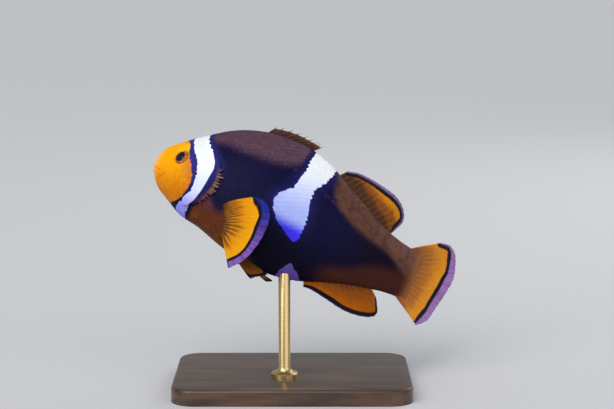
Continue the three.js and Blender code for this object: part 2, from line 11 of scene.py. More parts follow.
import bpy
import numpy as np
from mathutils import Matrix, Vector


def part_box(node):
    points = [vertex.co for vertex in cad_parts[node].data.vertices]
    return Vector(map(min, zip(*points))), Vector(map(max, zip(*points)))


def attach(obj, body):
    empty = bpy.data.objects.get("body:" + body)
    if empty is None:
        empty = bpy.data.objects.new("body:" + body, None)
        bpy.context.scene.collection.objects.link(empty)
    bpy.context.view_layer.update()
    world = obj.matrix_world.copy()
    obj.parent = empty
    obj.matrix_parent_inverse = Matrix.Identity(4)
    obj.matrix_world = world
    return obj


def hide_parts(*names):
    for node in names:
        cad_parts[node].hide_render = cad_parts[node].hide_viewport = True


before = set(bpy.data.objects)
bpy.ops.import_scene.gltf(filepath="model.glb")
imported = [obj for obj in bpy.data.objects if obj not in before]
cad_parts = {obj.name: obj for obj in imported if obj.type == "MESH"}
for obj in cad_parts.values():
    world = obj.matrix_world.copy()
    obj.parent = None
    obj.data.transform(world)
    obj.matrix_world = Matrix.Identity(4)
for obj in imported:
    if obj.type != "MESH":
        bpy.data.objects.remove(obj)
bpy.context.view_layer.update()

# %% [markdown]
# ## The straight fish
#
# A bent fish is hard to model and a straight one is easy. So every form is first placed on a
# straight fish: x runs back from the snout, y to the fish's right, z up. A few stations give the
# heights of its back and belly and its half width, in body lengths, and a smooth curve through
# them gives every section between. The values are those of the solids, so that the skin lands on
# them with no fitting.

# %% The body's stations
MM = 0.001
BODY_LENGTH = 0.076
PITCH = math.radians(24.2)
ROLL = math.radians(22)
SNOUT_ROUND = 0.076
TAIL_RUN = 0.055  # how far the skin runs on over the tail fin, in body lengths
BACK = [
    [0, 0.08], [0.06, 0.092], [0.12, 0.1245], [0.18, 0.157], [0.26, 0.199], [0.35, 0.225],
    [0.44, 0.233], [0.52, 0.227], [0.6, 0.205], [0.68, 0.167], [0.76, 0.134], [0.84, 0.102],
    [0.92, 0.089], [1, 0.087],
]
BELLY = [
    [0, -0.026], [0.06, -0.071], [0.12, -0.107], [0.18, -0.1405], [0.26, -0.162],
    [0.36, -0.198], [0.46, -0.222], [0.56, -0.222], [0.64, -0.205], [0.72, -0.172],
    [0.8, -0.142], [0.88, -0.118], [0.94, -0.101], [1, -0.089],
]
HALF_WIDTH = [
    [0, 0.054], [0.06, 0.0715], [0.12, 0.0775], [0.2, 0.094], [0.3, 0.1], [0.4, 0.098],
    [0.52, 0.086], [0.66, 0.063], [0.8, 0.04], [0.9, 0.026], [1, 0.018],
]
WIDEST = [[0, 0.015], [0.45, -0.01], [0.7, -0.005], [1, 0]]


def along(stations, at):
    """A smooth curve through [at, value] stations, at one place or at many."""
    xs, ys = np.array(stations, float).T
    at = np.asarray(at, float)
    slope = np.gradient(ys, xs)
    slope[1:-1] = (ys[2:] - ys[:-2]) / (xs[2:] - xs[:-2])
    i = np.clip(np.searchsorted(xs, at) - 1, 0, len(xs) - 2)
    span = xs[i + 1] - xs[i]
    t = np.clip((at - xs[i]) / span, 0, 1)
    start = (2 * t**3 - 3 * t**2 + 1) * ys[i] + (t**3 - 2 * t**2 + t) * span * slope[i]
    end = (3 * t**2 - 2 * t**3) * ys[i + 1] + (t**3 - t**2) * span * slope[i + 1]
    return start + end + np.maximum(0, at - xs[i + 1]) * slope[i + 1]


def lerp(a, b, t):
    return a + (b - a) * t


def smooth(x, low, high):
    t = np.clip((x - low) / (high - low), 0, 1)
    return t * t * (3 - 2 * t)


def points(x, y, z):
    """Three arrays or numbers as one array of points."""
    return np.stack(np.broadcast_arrays(x, y, z), axis=-1).astype(float)


def unit(v):
    return v / np.maximum(np.linalg.norm(v, axis=-1, keepdims=True), 1e-12)


# %% The surface of the straight fish
def snout_round(u):
    return np.sqrt(np.maximum(0, 1 - (1 - np.clip(u / SNOUT_ROUND, 0, 1)) ** 2))


def tail_taper(u):
    return np.sqrt(np.maximum(0, 1 - np.clip((u - 1) / TAIL_RUN, 0, 1) ** 2))


def over_mid(u):
    return (along(BACK, u) - along(WIDEST, u)) * snout_round(u)


def under_mid(u):
    return (along(WIDEST, u) - along(BELLY, u)) * snout_round(u)


def back_line(u):
    return BODY_LENGTH * (along(WIDEST, u) + over_mid(u))


def belly_line(u):
    return BODY_LENGTH * (along(WIDEST, u) - under_mid(u))


def skin(u, angle):
    """Points at u body lengths from the snout and angle round the section, 0 at the right."""
    across, up = np.cos(angle), np.sin(angle)
    leaner = lerp(0.88, 1.12, smooth(u, 0.05, 0.5))
    width = along(HALF_WIDTH, u) * snout_round(u) * tail_taper(u)
    reach = np.sign(across) * np.abs(across) ** leaner
    height = up * np.where(up > 0, over_mid(u), under_mid(u))
    return BODY_LENGTH * points(u, width * reach, along(WIDEST, u) + height)


def skin_normal(u, angle):
    e = 1e-3
    u = np.clip(u, e, 1 + TAIL_RUN - 2 * e)
    run = skin(u + e, angle) - skin(u - e, angle)
    around = skin(u, angle + e) - skin(u, angle - e)
    return unit(np.cross(around, run))


def flank_angle(u, z, side):
    """The angle of the flank's point at height z, on side -1 (left) or 1 (right)."""
    h = z / BODY_LENGTH - along(WIDEST, u)
    up = np.clip(h / np.where(h > 0, over_mid(u), under_mid(u)), -0.999, 0.999)
    return np.arcsin(up) if side > 0 else math.pi - np.arcsin(up)


def flank(u, z, side, rise=0.0):
    angle = flank_angle(u, z, side)
    rise = np.asarray(rise, float)[..., None]
    return skin(u, angle) + skin_normal(u, angle) * rise


# %% [markdown]
# ## The pose
#
# The fish turns away to its right, banks, and holds its head up. In life a spine bends joint by
# joint, so the straight fish is bent along a spine whose heading changes from snout to tail, and
# then rolled and pitched as one. A fin that stands off the body is too stiff to follow the bend:
# it takes over the place and heading of one point of the spine.

# %% Bend, roll and pitch
HEADING = [
    [0, -50], [0.18, -33], [0.36, -16], [0.52, 0], [0.72, 12], [0.88, 24], [1, 34], [1.3, 58],
]
SPINE_STEP = 0.5 * MM
SPINE_STEPS = math.ceil(1.5 * BODY_LENGTH / SPINE_STEP)


def heading(x):
    return np.radians(along(HEADING, np.clip(x / BODY_LENGTH, 0, 1.3)))


turns = heading((np.arange(SPINE_STEPS) + 0.5) * SPINE_STEP)
SPINE_X = np.concatenate([[0], np.cumsum(np.cos(turns))]) * SPINE_STEP
SPINE_Y = np.concatenate([[0], np.cumsum(np.sin(turns))]) * SPINE_STEP


def bent(p, spine_at=None):
    at = p[..., 0] if spine_at is None else np.full(p.shape[:-1], float(spine_at))
    step = np.clip(at / SPINE_STEP, 0, SPINE_STEPS - 1.001)
    i = np.floor(step).astype(int)
    turn = heading(at)
    over = p[..., 0] - np.maximum(at, 0)
    x = lerp(SPINE_X[i], SPINE_X[i + 1], step - i) + over * np.cos(turn)
    y = lerp(SPINE_Y[i], SPINE_Y[i + 1], step - i) + over * np.sin(turn)
    return points(x - p[..., 1] * np.sin(turn), y + p[..., 1] * np.cos(turn), p[..., 2])


def tilted(p):
    y = p[..., 1] * math.cos(ROLL) + p[..., 2] * math.sin(ROLL)
    z = p[..., 2] * math.cos(ROLL) - p[..., 1] * math.sin(ROLL)
    x = p[..., 0] * math.cos(PITCH) + z * math.sin(PITCH)
    return points(x, y, z * math.cos(PITCH) - p[..., 0] * math.sin(PITCH))


STAND_THICK = 4 * MM
CLEARANCE = 25 * MM
ROD_AT = 0.6
ROD_XY = (-2 * MM, -6 * MM)
rod_top = tilted(bent(points(ROD_AT * BODY_LENGTH, 0, belly_line(ROD_AT))))
LIFT = np.array([*ROD_XY, STAND_THICK + CLEARANCE]) - rod_top


def posed(p, spine_at=None):
    """Points of the straight fish, bent and tilted and set over the stand."""
    return tilted(bent(p, spine_at)) + LIFT


low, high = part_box("trunk")
trunk_u, trunk_angle = np.meshgrid(np.linspace(0.28, 0.83, 80), np.linspace(0, 2 * math.pi, 90))
trunk = posed(skin(trunk_u, trunk_angle))
print("trunk solid:", [round(v, 4) for v in (*low, *high)])
print("same length of skin:", trunk.min((0, 1)).round(4), trunk.max((0, 1)).round(4))

# %% [markdown]
# ## Camera, floor and light
#
# The viewer stands level with the fish and looks slightly down on it from its left side. A long
# lens keeps the shape true, as it does for small animals. The floor is one pale sheet, and the
# light is a large soft lamp over the fish with three weaker ones that open its dark sides. All
# of them look at the middle of the fish.

# %% Camera
camera_data = bpy.data.cameras.new("view")
camera_data.lens = 100
camera_data.sensor_width = 36
camera_data.clip_start = 0.01
camera = bpy.data.objects.new("view", camera_data)
bpy.context.scene.collection.objects.link(camera)
camera.location = (0.003675, -0.426933, 0.106995)
camera.rotation_euler = (math.radians(82), 0, 0)
bpy.context.scene.camera = camera


# %% Floor and lamps
def deselect():
    bpy.ops.object.select_all(action="DESELECT")


def choose(obj):
    """Makes obj the active object and the only one selected."""
    deselect()
    obj.select_set(True)
    bpy.context.view_layer.objects.active = obj


deselect()
bpy.ops.mesh.primitive_plane_add(size=16)
floor = bpy.context.object
floor.name = "floor"

MIDDLE = Vector((-0.003, 0.002, 0.047))


def lamp(name, kind, place, size, power, colour):
    """A soft lamp that looks at the fish. size is in metres, or for a sun in degrees."""
    bpy.ops.object.light_add(type=kind, location=place)
    obj = bpy.context.object
    obj.name = name
    if kind == "SUN":
        obj.data.angle = math.radians(size)
    else:
        obj.data.size = size
    obj.data.energy = power
    obj.data.color = colour
    obj.rotation_euler = (MIDDLE - obj.location).to_track_quat("-Z", "Y").to_euler()


lamp("lamp_top", "SUN", (-0.35, -0.55, 0.75), 50, 1.75, (1.0, 0.99, 0.97))
lamp("lamp_side", "SUN", (0.6, -0.7, 0.3), 60, 0.85, (0.98, 0.98, 1.0))
lamp("lamp_front", "AREA", (-0.45, -0.4, 0.2), 0.35, 0.6, (0.97, 0.98, 1.0))
lamp("lamp_back", "AREA", (0.4, 0.35, 0.35), 0.4, 0.7, (0.96, 0.97, 1.0))

world = bpy.data.worlds.new("studio")
bpy.context.scene.world = world
world.use_nodes = True
world.node_tree.nodes["Background"].inputs["Color"].default_value = (0.9, 0.92, 0.96, 1)
world.node_tree.nodes["Background"].inputs["Strength"].default_value = 0.4
bpy.context.scene.view_settings.view_transform = "Standard"

# %% [markdown]
# ## A workbench for finishes
#
# A finish is a tree of nodes that works out colour, gloss and relief for every point of a
# surface. Written out by hand such a tree is long, so this small class adds one node per call
# and joins it to what went before. Numbers that are the same all over a piece are set straight
# on the shader, and only what varies comes from nodes.


# %% The finish class
class Finish:
    def __init__(self, name, roughness=0.5, **sockets):
        self.material = bpy.data.materials.new(name)
        self.material.use_nodes = True
        self.tree = self.material.node_tree
        self.shader = self.tree.nodes["Principled BSDF"]
        self.shader.inputs["Roughness"].default_value = roughness
        for socket, value in sockets.items():
            self.shader.inputs[socket.replace("_", " ")].default_value = value

    def node(self, kind, inputs=(), output=0, **settings):
        node = self.tree.nodes.new("ShaderNode" + kind)
        for key, value in settings.items():
            setattr(node, key, value)
        for key, value in dict(inputs).items():
            if isinstance(value, bpy.types.NodeSocket):
                self.tree.links.new(value, node.inputs[key])
            elif isinstance(value, tuple) and len(value) == 3 and node.inputs[key].type == "RGBA":
                node.inputs[key].default_value = (*value, 1)
            else:
                node.inputs[key].default_value = value
        return node.outputs[output]

    def math(self, operation, *values):
        return self.node("Math", dict(enumerate(values)), operation=operation)

    def times(self, a, b):
        return self.math("MULTIPLY", a, b)

    def minus(self, a, b):
        return self.math("SUBTRACT", a, b)

    def times_plus(self, value, factor, more):
        return self.math("MULTIPLY_ADD", value, factor, more)

    def mix(self, share, a, b):
        return self.node("Mix", {0: share, 6: a, 7: b}, output=2, data_type="RGBA")

    def between(self, value, low, high):
        """0 below low, 1 over high and a soft step between."""
        inputs = {0: value, 1: low, 2: high}
        return self.node("MapRange", inputs, interpolation_type="SMOOTHSTEP")

    def attribute(self, name, output="Vector"):
        return self.node("Attribute", attribute_name=name, output=output)

    def split(self, vector):
        node = self.tree.nodes.new("ShaderNodeSeparateXYZ")
        self.tree.links.new(vector, node.inputs[0])
        return list(node.outputs)

    def stretch(self, vector, scale):
        return self.node("VectorMath", {0: vector, 1: scale}, operation="MULTIPLY")

    def noise(self, vector, scale, detail=2, roughness=0.5):
        inputs = {"Vector": vector, "Scale": scale, "Detail": detail, "Roughness": roughness}
        return self.node("TexNoise", inputs)

    def curve(self, value, stations, low=-0.25, high=0.25):
        """A line drawn through [value, result] stations, read at value."""
        share = self.node("MapRange", {0: value, 1: low, 2: high})
        result = self.node("FloatCurve", {1: share})
        line = result.node.mapping.curves[0]
        places = [((at - low) / (high - low), y) for at, y in sorted(stations)]
        for place in places[1:-1]:
            line.points.new(*place)
        line.points[0].location = places[0]
        line.points[-1].location = places[-1]
        result.node.mapping.extend = "EXTRAPOLATED"
        result.node.mapping.update()
        return result

    def relief(self, height, distance, strength=1.0, normal=None):
        inputs = {"Height": height, "Distance": distance, "Strength": strength}
        if normal is not None:
            inputs["Normal"] = normal
        return self.node("Bump", inputs)

    def join(self, socket, value):
        self.tree.links.new(value, self.shader.inputs[socket])

    def put_on(self, obj):
        obj.data.materials.clear()
        obj.data.materials.append(self.material)


# %% The floor's finish
paper = Finish("floor_paper", roughness=0.85)
grain = paper.noise(paper.node("TexCoord", output=3), 420.0, 3)
paper.join("Base Color", paper.mix(grain, (0.6, 0.61, 0.63), (0.63, 0.64, 0.66)))
paper.join("Normal", paper.relief(grain, 0.00002))
paper.put_on(floor)

# %% [markdown]
# ## The markings
#
# A clownfish's bars follow its body, not the room. So each point of skin and scale carries a
# small note of where it is on the straight fish: how far back, how high, and a random shade for
# its scale. The markings are drawn in those terms. The edge of each bar is a curve that gives,
# for every height, how far back it lies; a point is inside a bar when it lies between two such
# curves. Each scale reads the note of its own root more than its own place, so that it takes
# one colour and the edges of the bars come out scalloped, as in life.
# Every marking is a short function that lays its colour over those before it.

# %% Where the edges lie, as [height, distance from the snout] in body lengths
MASK_REAR = [
    [-0.135, 0.1], [-0.115, 0.152], [-0.109, 0.182], [-0.094, 0.2], [-0.075, 0.212],
    [-0.036, 0.218], [-0.007, 0.207], [0.027, 0.188], [0.065, 0.165], [0.087, 0.15],
    [0.108, 0.125], [0.15, 0.11],
]
HEAD_BAR_FRONT = [
    [-0.15, 0.15], [-0.12, 0.186], [-0.108, 0.2], [-0.09, 0.216], [-0.072, 0.227],
    [-0.034, 0.23], [0.005, 0.221], [0.032, 0.209], [0.064, 0.184], [0.101, 0.156],
    [0.124, 0.142], [0.16, 0.135],
]
HEAD_BAR_REAR = [
    [-0.16, 0.195], [-0.14, 0.216], [-0.117, 0.231], [-0.097, 0.251], [-0.079, 0.26],
    [-0.043, 0.267], [-0.005, 0.273], [0.015, 0.276], [0.037, 0.272], [0.05, 0.264],
    [0.082, 0.237], [0.119, 0.207], [0.147, 0.19], [0.19, 0.185],
]
MID_BAR_FRONT = [
    [-0.112, 0.585], [-0.107, 0.566], [-0.078, 0.516], [-0.051, 0.487], [-0.017, 0.468],
    [0.017, 0.471], [0.063, 0.505], [0.114, 0.515], [0.217, 0.53], [0.24, 0.535],
]
MID_BAR_REAR = [
    [-0.112, 0.545], [-0.107, 0.566], [-0.068, 0.581], [-0.017, 0.58], [0.036, 0.57],
    [0.079, 0.568], [0.136, 0.595], [0.196, 0.617], [0.24, 0.63],
]
PATCH_FRONT = [[-0.24, 0.55], [-0.216, 0.565], [-0.19, 0.575], [-0.168, 0.592], [-0.16, 0.62]]
PATCH_REAR = [[-0.24, 0.68], [-0.198, 0.642], [-0.18, 0.61], [-0.168, 0.592], [-0.16, 0.57]]
# Where the brown of the back, of the tail's stalk and of the belly start, as
# [distance from the snout, height].
BACK_BROWN = [
    [0.2, 0.1], [0.27, 0.119], [0.34, 0.115], [0.44, 0.12], [0.48, 0.138], [0.52, 0.17],
    [0.6, 0.24],
]
STALK_BROWN = [
    [0.6, 0.2], [0.632, 0.1], [0.692, 0.056], [0.777, 0.03], [0.882, 0.022], [0.95, 0.0],
    [1.02, -0.03], [1.06, -0.04],
]
BELLY_BROWN = [
    [0.58, -0.24], [0.615, -0.16], [0.65, -0.135], [0.7, -0.125], [0.75, -0.11],
    [0.85, -0.052], [0.95, -0.02], [1.06, 0.0],
]
# Where the painted shade on the breast starts.
BREAST_BROWN = [
    [0.17, -0.14], [0.203, -0.125], [0.221, -0.092], [0.262, -0.06], [0.285, -0.066],
    [0.302, -0.085], [0.313, -0.101], [0.328, -0.111], [0.35, -0.108], [0.401, -0.15],
    [0.461, -0.2], [0.5, -0.24],
]
# Where the lateral line runs, as [distance from the snout, height].
LATERAL_LINE = [
    [0.28, 0.085], [0.34, 0.115], [0.42, 0.127], [0.52, 0.112], [0.572, 0.1],
    [0.65, 0.075], [0.75, 0.05], [0.82, 0.035],
]


# %% Colours of the skin
ORANGE = (0.97, 0.36, 0.0)
YELLOW = (0.95, 0.5, 0.004)
SHADED_ORANGE = (0.5, 0.12, 0.004)
CHEEK_SHADE_ORANGE = (0.42, 0.11, 0.05)
SNOUT_HIGHLIGHT = (0.95, 0.6, 0.26)
INK = (0.0025, 0.0015, 0.011)
# LIT_NAVY, BLUE and LIT_BAND are black skin with painted blue light on it.
LIT_NAVY = (0.0035, 0.003, 0.032)
SOOT = (0.004, 0.0022, 0.01)
BLUE = (0.022, 0.021, 0.15)
LIT_BAND = (0.028, 0.026, 0.19)
WHITE = (0.88, 0.92, 0.96)
# SHADED_BLUE_WHITE, SHADED_WHITE, SHADED_LILAC, SHADED_VIOLET and MAUVE are the white of the bars
# in painted shade.
SHADED_BLUE_WHITE = (0.66, 0.72, 0.97)
SHADED_WHITE = (0.42, 0.5, 0.98)
SHADED_LILAC = (0.32, 0.3, 0.86)
SHADED_VIOLET = (0.05, 0.035, 0.92)
ELECTRIC = (0.012, 0.014, 0.22)
MAUVE = (0.11, 0.06, 0.3)
PLUM_BROWN = (0.078, 0.037, 0.062)
PLUM_LIGHT = (0.125, 0.07, 0.095)
EARTH = (0.115, 0.048, 0.03)
EARTH_PALE = (0.15, 0.07, 0.055)
RUST = (0.1, 0.026, 0.007)
RUST_PALE = (0.15, 0.042, 0.008)
MAROON = (0.085, 0.02, 0.055)
CHESTNUT = (0.056, 0.014, 0.008)
OLD_GOLD = (0.19, 0.1, 0.07)
WINE = (0.1, 0.026, 0.045)
FIN_BROWN = (0.32, 0.11, 0.03)


# %% Where a point lies
class FishSkin(Finish):
    """A finish that knows each point's place on the fish and how far inside each bar it is."""

    def __init__(self, name):
        super().__init__(name, roughness=0.45, Specular_IOR_Level=0.06)
        u, self.tone, self.z = self.split(self.attribute("fish_place"))
        self.object_place = self.node("TexCoord", output=3)
        wander = self.minus(self.noise(self.object_place, 260.0, 3), 0.5)
        self.u = self.times_plus(wander, 0.006, u)
        self.mottle = self.noise(self.object_place, 620.0, 4, 0.6)
        self.lifted = self.times_plus(self.z, 2.0, 0.5)
        self.mask = self.minus(self.curve(self.z, MASK_REAR), self.u)
        head_bar = self.inside(HEAD_BAR_FRONT, HEAD_BAR_REAR)
        self.bars = self.math("MAXIMUM", head_bar, self.inside(MID_BAR_FRONT, MID_BAR_REAR))
        self.patch = self.inside(PATCH_FRONT, PATCH_REAR)
        self.clear = self.between(self.bars, -0.008, -0.03)

    def inside(self, front, rear):
        """How far inside a bar a point lies, in body lengths."""
        behind = self.minus(self.u, self.curve(self.z, front))
        ahead = self.minus(self.curve(self.z, rear), self.u)
        return self.math("MINIMUM", behind, ahead)

    def height(self, stations):
        """The height of a line at u. A curve gives 0 to 1, which stands for -0.25 to 0.25."""
        signed = [[at, (height + 0.25) / 0.5] for at, height in stations]
        return self.curve(self.u, signed, low=0.0, high=1.1)

    def above(self, stations, soft):
        return self.between(self.minus(self.lifted, self.height(stations)), -soft, soft)

    def below(self, stations, soft):
        return self.minus(1.0, self.above(stations, soft))


# %% Dark ground
def dark_ground(f):
    """Black skin with painted blue light, navy up the flank and bluest by the bars, and painted
    shade below.
    """
    colour = f.mix(f.between(f.z, -0.17, -0.02), INK, LIT_NAVY)
    # A painted blue glow on the black skin next to the bars.
    glow = f.times(f.between(f.bars, -0.045, -0.002), f.between(f.z, -0.13, 0.02))
    glow = f.times(glow, f.times_plus(f.between(f.u, 0.4, 0.3), 0.6, 0.3))
    colour = f.mix(glow, colour, BLUE)
    colour = f.mix(f.between(f.u, 0.66, 0.86), colour, SOOT)
    # A painted blue light on the black band just ahead of the head bar.
    ahead = f.minus(f.curve(f.z, HEAD_BAR_FRONT), f.u)
    ahead = f.times(f.between(ahead, -0.002, 0.004), f.between(f.z, -0.09, 0.0))
    return f.mix(ahead, colour, LIT_BAND)


# %% Browns
def brown_back(f, colour, scale_edge_light):
    back = f.times(f.above(BACK_BROWN, 0.05), f.between(f.u, 0.6, 0.5))
    fine = f.between(f.noise(f.object_place, 1500.0, 2, 0.7), 0.4, 0.65)
    plum = f.mix(f.times(fine, 0.45), PLUM_BROWN, PLUM_LIGHT)
    # Painted highlight: the rear edge of each scale is paler.
    plum = f.mix(f.times(scale_edge_light, 0.2), plum, PLUM_LIGHT)
    return f.mix(f.times(back, f.clear), colour, plum)


def brown_rear(f, colour):
    """The tail's stalk and the rear of the belly."""
    stalk = f.times(f.above(STALK_BROWN, 0.035), f.between(f.u, 0.61, 0.655))
    high_rear = f.times(f.between(f.u, 0.8, 0.96), f.between(f.z, 0.01, 0.06))
    earth = f.mix(high_rear, EARTH, EARTH_PALE)
    speck = f.between(f.mottle, 0.62, 0.45)
    colour = f.mix(f.times(stalk, f.times_plus(speck, 0.35, 0.65)), colour, earth)
    belly = f.times(f.below(BELLY_BROWN, 0.05), f.between(f.u, 0.65, 0.74))
    return f.mix(f.times(belly, 0.9), colour, CHESTNUT)


def shaded_breast(f, colour):
    # Painted shade: the orange breast and lower head in shade, dark brown-orange and mottled.
    breast = f.times(f.below(BREAST_BROWN, 0.04), f.between(f.u, 0.5, 0.4))
    breast_shade = f.between(f.noise(f.object_place, 170.0, 3), 0.4, 0.65)
    breast_shade = f.mix(breast_shade, RUST, RUST_PALE)
    breast_shade = f.mix(f.between(f.z, -0.07, -0.135), MAROON, breast_shade)
    return f.mix(f.times(f.times(breast, f.clear), 0.9), colour, breast_shade)


def onto_tail(f, colour):
    """The skin takes the tail fin's brown where it ends on the fin."""
    ragged = f.times_plus(f.minus(f.mottle, 0.5), 0.03, f.u)
    return f.mix(f.between(ragged, 0.99, 1.06), colour, FIN_BROWN)


def lateral_line(f, colour, scale_edge_light):
    off_line = f.math("ABSOLUTE", f.minus(f.lifted, f.height(LATERAL_LINE)))
    on_line = f.times(f.between(off_line, 0.016, 0.004), f.between(f.u, 0.28, 0.32))
    # The line shows on the paler, highlighted rear edges of its scales.
    on_line = f.times(on_line, f.times(f.clear, scale_edge_light))
    return f.mix(f.times(on_line, 0.3), colour, PLUM_LIGHT)


# %% Mask and gill fringe
# Where the painted highlight over the eye is brightest, on the straight fish.
EYE_HIGHLIGHT_AT = (0.15, 0.0, 0.066)


def orange_mask(f, colour):
    """Orange, with painted highlights, yellow over the eye and pale on the snout, and painted
    shade, darker orange towards the chin, by the black band and on the cheek.
    """
    u, z, mask = f.u, f.z, f.mask
    over_eye = f.node(
        "VectorMath", {0: f.attribute("fish_place"), 1: EYE_HIGHLIGHT_AT}, operation="SUBTRACT"
    )
    over_eye = f.stretch(over_eye, (1.0, 0.0, 1.0))
    from_highlight = f.node("VectorMath", {0: over_eye}, operation="LENGTH", output=1)
    # Painted shade: darker orange towards the chin and next to the black band.
    warm = f.mix(f.between(z, 0.03, -0.105), ORANGE, SHADED_ORANGE)
    warm = f.mix(f.times(f.between(mask, 0.03, 0.0), 0.65), warm, SHADED_ORANGE)
    # Painted shade on the cheek behind and below the eye.
    cheek_shade = f.times(f.between(mask, 0.06, 0.01), f.between(z, -0.06, 0.0))
    cheek_shade = f.times(cheek_shade, f.between(z, 0.075, 0.04))
    for share, tint in (
        (f.times(cheek_shade, 0.55), CHEEK_SHADE_ORANGE),
        # A painted highlight in yellow on the rim over the eye.
        (f.times(f.between(from_highlight, 0.045, 0.012), 0.9), YELLOW),
        # A painted highlight, pale, along the front of the snout and lips.
        (f.times(f.between(u, 0.08, 0.03), 0.9), SNOUT_HIGHLIGHT),
        (f.times(f.mottle, 0.25), YELLOW),
        # Painted shade in the cheek's fold and along its edge.
        (f.times(f.attribute("crease", "Fac"), 0.5), SHADED_ORANGE),
    ):
        warm = f.mix(share, warm, tint)
    return f.mix(f.between(mask, -0.0015, 0.0015), colour, warm)


def gill_fringe(f, colour):
    """Golden spines on a reddish brown edge."""
    fringe = f.mix(f.between(f.z, -0.03, -0.1), OLD_GOLD, WINE)
    return f.mix(f.attribute("gold", "Fac"), colour, fringe)


# %% Bars
def white_bars(f, colour):
    """An electric blue rim, and white bars in painted shade, bluer and lilac low down, violet at
    the middle bar's tip and mauve on the belly patch.
    """
    u, z, bars = f.u, f.z, f.bars
    rim = f.times(f.between(bars, -0.0055, -0.001), f.between(f.mask, 0.0, -0.004))
    colour = f.mix(f.times(rim, f.between(z, -0.16, -0.06)), colour, ELECTRIC)
    # Painted shade: the bars grow bluer and lilac lower down, and violet at the middle bar's tip.
    pale = f.mix(f.between(z, 0.17, -0.03), WHITE, SHADED_WHITE)
    head_low = f.times(f.between(z, -0.06, -0.125), f.between(u, 0.4, 0.3))
    head_pale = f.mix(f.between(z, 0.02, -0.08), WHITE, SHADED_BLUE_WHITE)
    pale = f.mix(f.between(u, 0.4, 0.35), pale, head_pale)
    pale = f.mix(head_low, pale, SHADED_LILAC)
    tip = f.times(f.between(z, -0.03, -0.08), f.between(u, 0.4, 0.45))
    pale = f.mix(tip, pale, SHADED_VIOLET)
    colour = f.mix(f.between(bars, -0.001, 0.001), colour, pale)
    # Painted shade: the white patch on the belly is mauve.
    return f.mix(f.between(f.patch, -0.0015, 0.002), colour, MAUVE)


# %% Lay the markings over each other
def skin_finish(name, relief):
    f = FishSkin(name)
    # A painted highlight on the free rear edge of each scale.
    scale_edge_light = f.between(f.attribute("on_scale", "Fac"), 0.55, 1.0)
    colour = brown_back(f, dark_ground(f), scale_edge_light)
    colour = onto_tail(f, shaded_breast(f, brown_rear(f, colour)))
    colour = orange_mask(f, lateral_line(f, colour, scale_edge_light))
    colour = white_bars(f, gill_fringe(f, colour))

    # A shade of its own for every scale, weaker on the bars.
    even = f.between(f.bars, 0.0, 0.002)
    shade = f.times_plus(f.tone, f.times_plus(even, -0.15, 0.2), 0.92)
    f.join("Base Color", f.node("VectorMath", {0: colour, 3: shade}, operation="SCALE"))
    f.join("Roughness", f.times_plus(f.mottle, 0.2, 0.36))
    pores = f.node("TexVoronoi", {"Vector": f.object_place, "Scale": 2600.0}, feature="F1")
    f.join("Normal", f.relief(pores, relief))
    print(name, "has", len(f.tree.nodes), "nodes")
    return f


skin_paint = skin_finish("fish_skin", 0.00002)
scale_paint = skin_finish("fish_scales", 0.00001)

# %% [markdown]
# ## Wrapping a sheet
#
# Skin, scales and fins are all thin and smooth. A grid primitive is the clay for them: a flat
# square sheet whose rows and columns can be laid along any surface. One helper adds the grid,
# reads where each corner lies in the flat sheet, and moves it to its place on the fish. The
# ends of a sheet that closes on itself are merged, and its normals are worked out anew.


# %% The helper
def sheet(name, columns, rows, place):
    """A grid of columns by rows whose corners go to place(s, t), with s and t from 0 to 1."""
    deselect()
    bpy.ops.mesh.primitive_grid_add(x_subdivisions=columns, y_subdivisions=rows, size=1)
    obj = bpy.context.object
    obj.name = obj.data.name = name
    flat = np.empty(len(obj.data.vertices) * 3)
    obj.data.vertices.foreach_get("co", flat)
    s, t = np.clip(flat.reshape(-1, 3)[:, :2].T + 0.5, 0, 1)
    obj.data.vertices.foreach_set("co", place(s, t).ravel())
    obj.data.update()
    return obj, s, t


def note(obj, name, values, kind="FLOAT_VECTOR"):
    """Writes a value for each corner, for a finish to read."""
    attribute = obj.data.attributes.new(name, kind, "POINT")
    field = "vector" if kind == "FLOAT_VECTOR" else "value"
    attribute.data.foreach_set(field, np.asarray(values, np.float32).ravel())


def close_up(obj, distance=1e-7):
    """Merges corners that meet and turns all faces outwards."""
    choose(obj)
    bpy.ops.object.mode_set(mode="EDIT")
    bpy.ops.mesh.select_all(action="SELECT")
    bpy.ops.mesh.remove_doubles(threshold=distance)
    bpy.ops.mesh.normals_make_consistent(inside=False)
    bpy.ops.object.mode_set(mode="OBJECT")


def smooth_faces(obj):
    choose(obj)
    bpy.ops.object.shade_smooth()


def thicken(obj, thickness, offset, group=""):
    """Makes a closed piece of a sheet. The weights of a vertex group can vary its thickness."""
    shell = obj.modifiers.new("shell", "SOLIDIFY")
    shell.thickness = thickness
    shell.offset = offset
    shell.vertex_group = group
    choose(obj)
    bpy.ops.object.modifier_apply(modifier=shell.name)
    close_up(obj)
    smooth_faces(obj)


def finish_piece(obj, paint, slot, *nodes):
    """Puts on the finish and hides the solids that the piece stands for; slot is not used."""
    paint.put_on(obj)
    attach(obj, "root")
    if nodes:
        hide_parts(*nodes)
    obj.data.calc_loop_triangles()
    print(obj.name, len(obj.data.loop_triangles), "triangles, for", nodes)


# %% [markdown]
# ## The skin
#
# One skin runs from the lips to the base of the tail fin. It lies a hair inside the solids, by
# the thickness of the scales that cover it. The relief of the head is worked into it: lips on
# both sides of the mouth's line, nostrils, the rim of each eye socket, and the fold of the cheek.
# The grid is closest at the snout, where the forms are small.

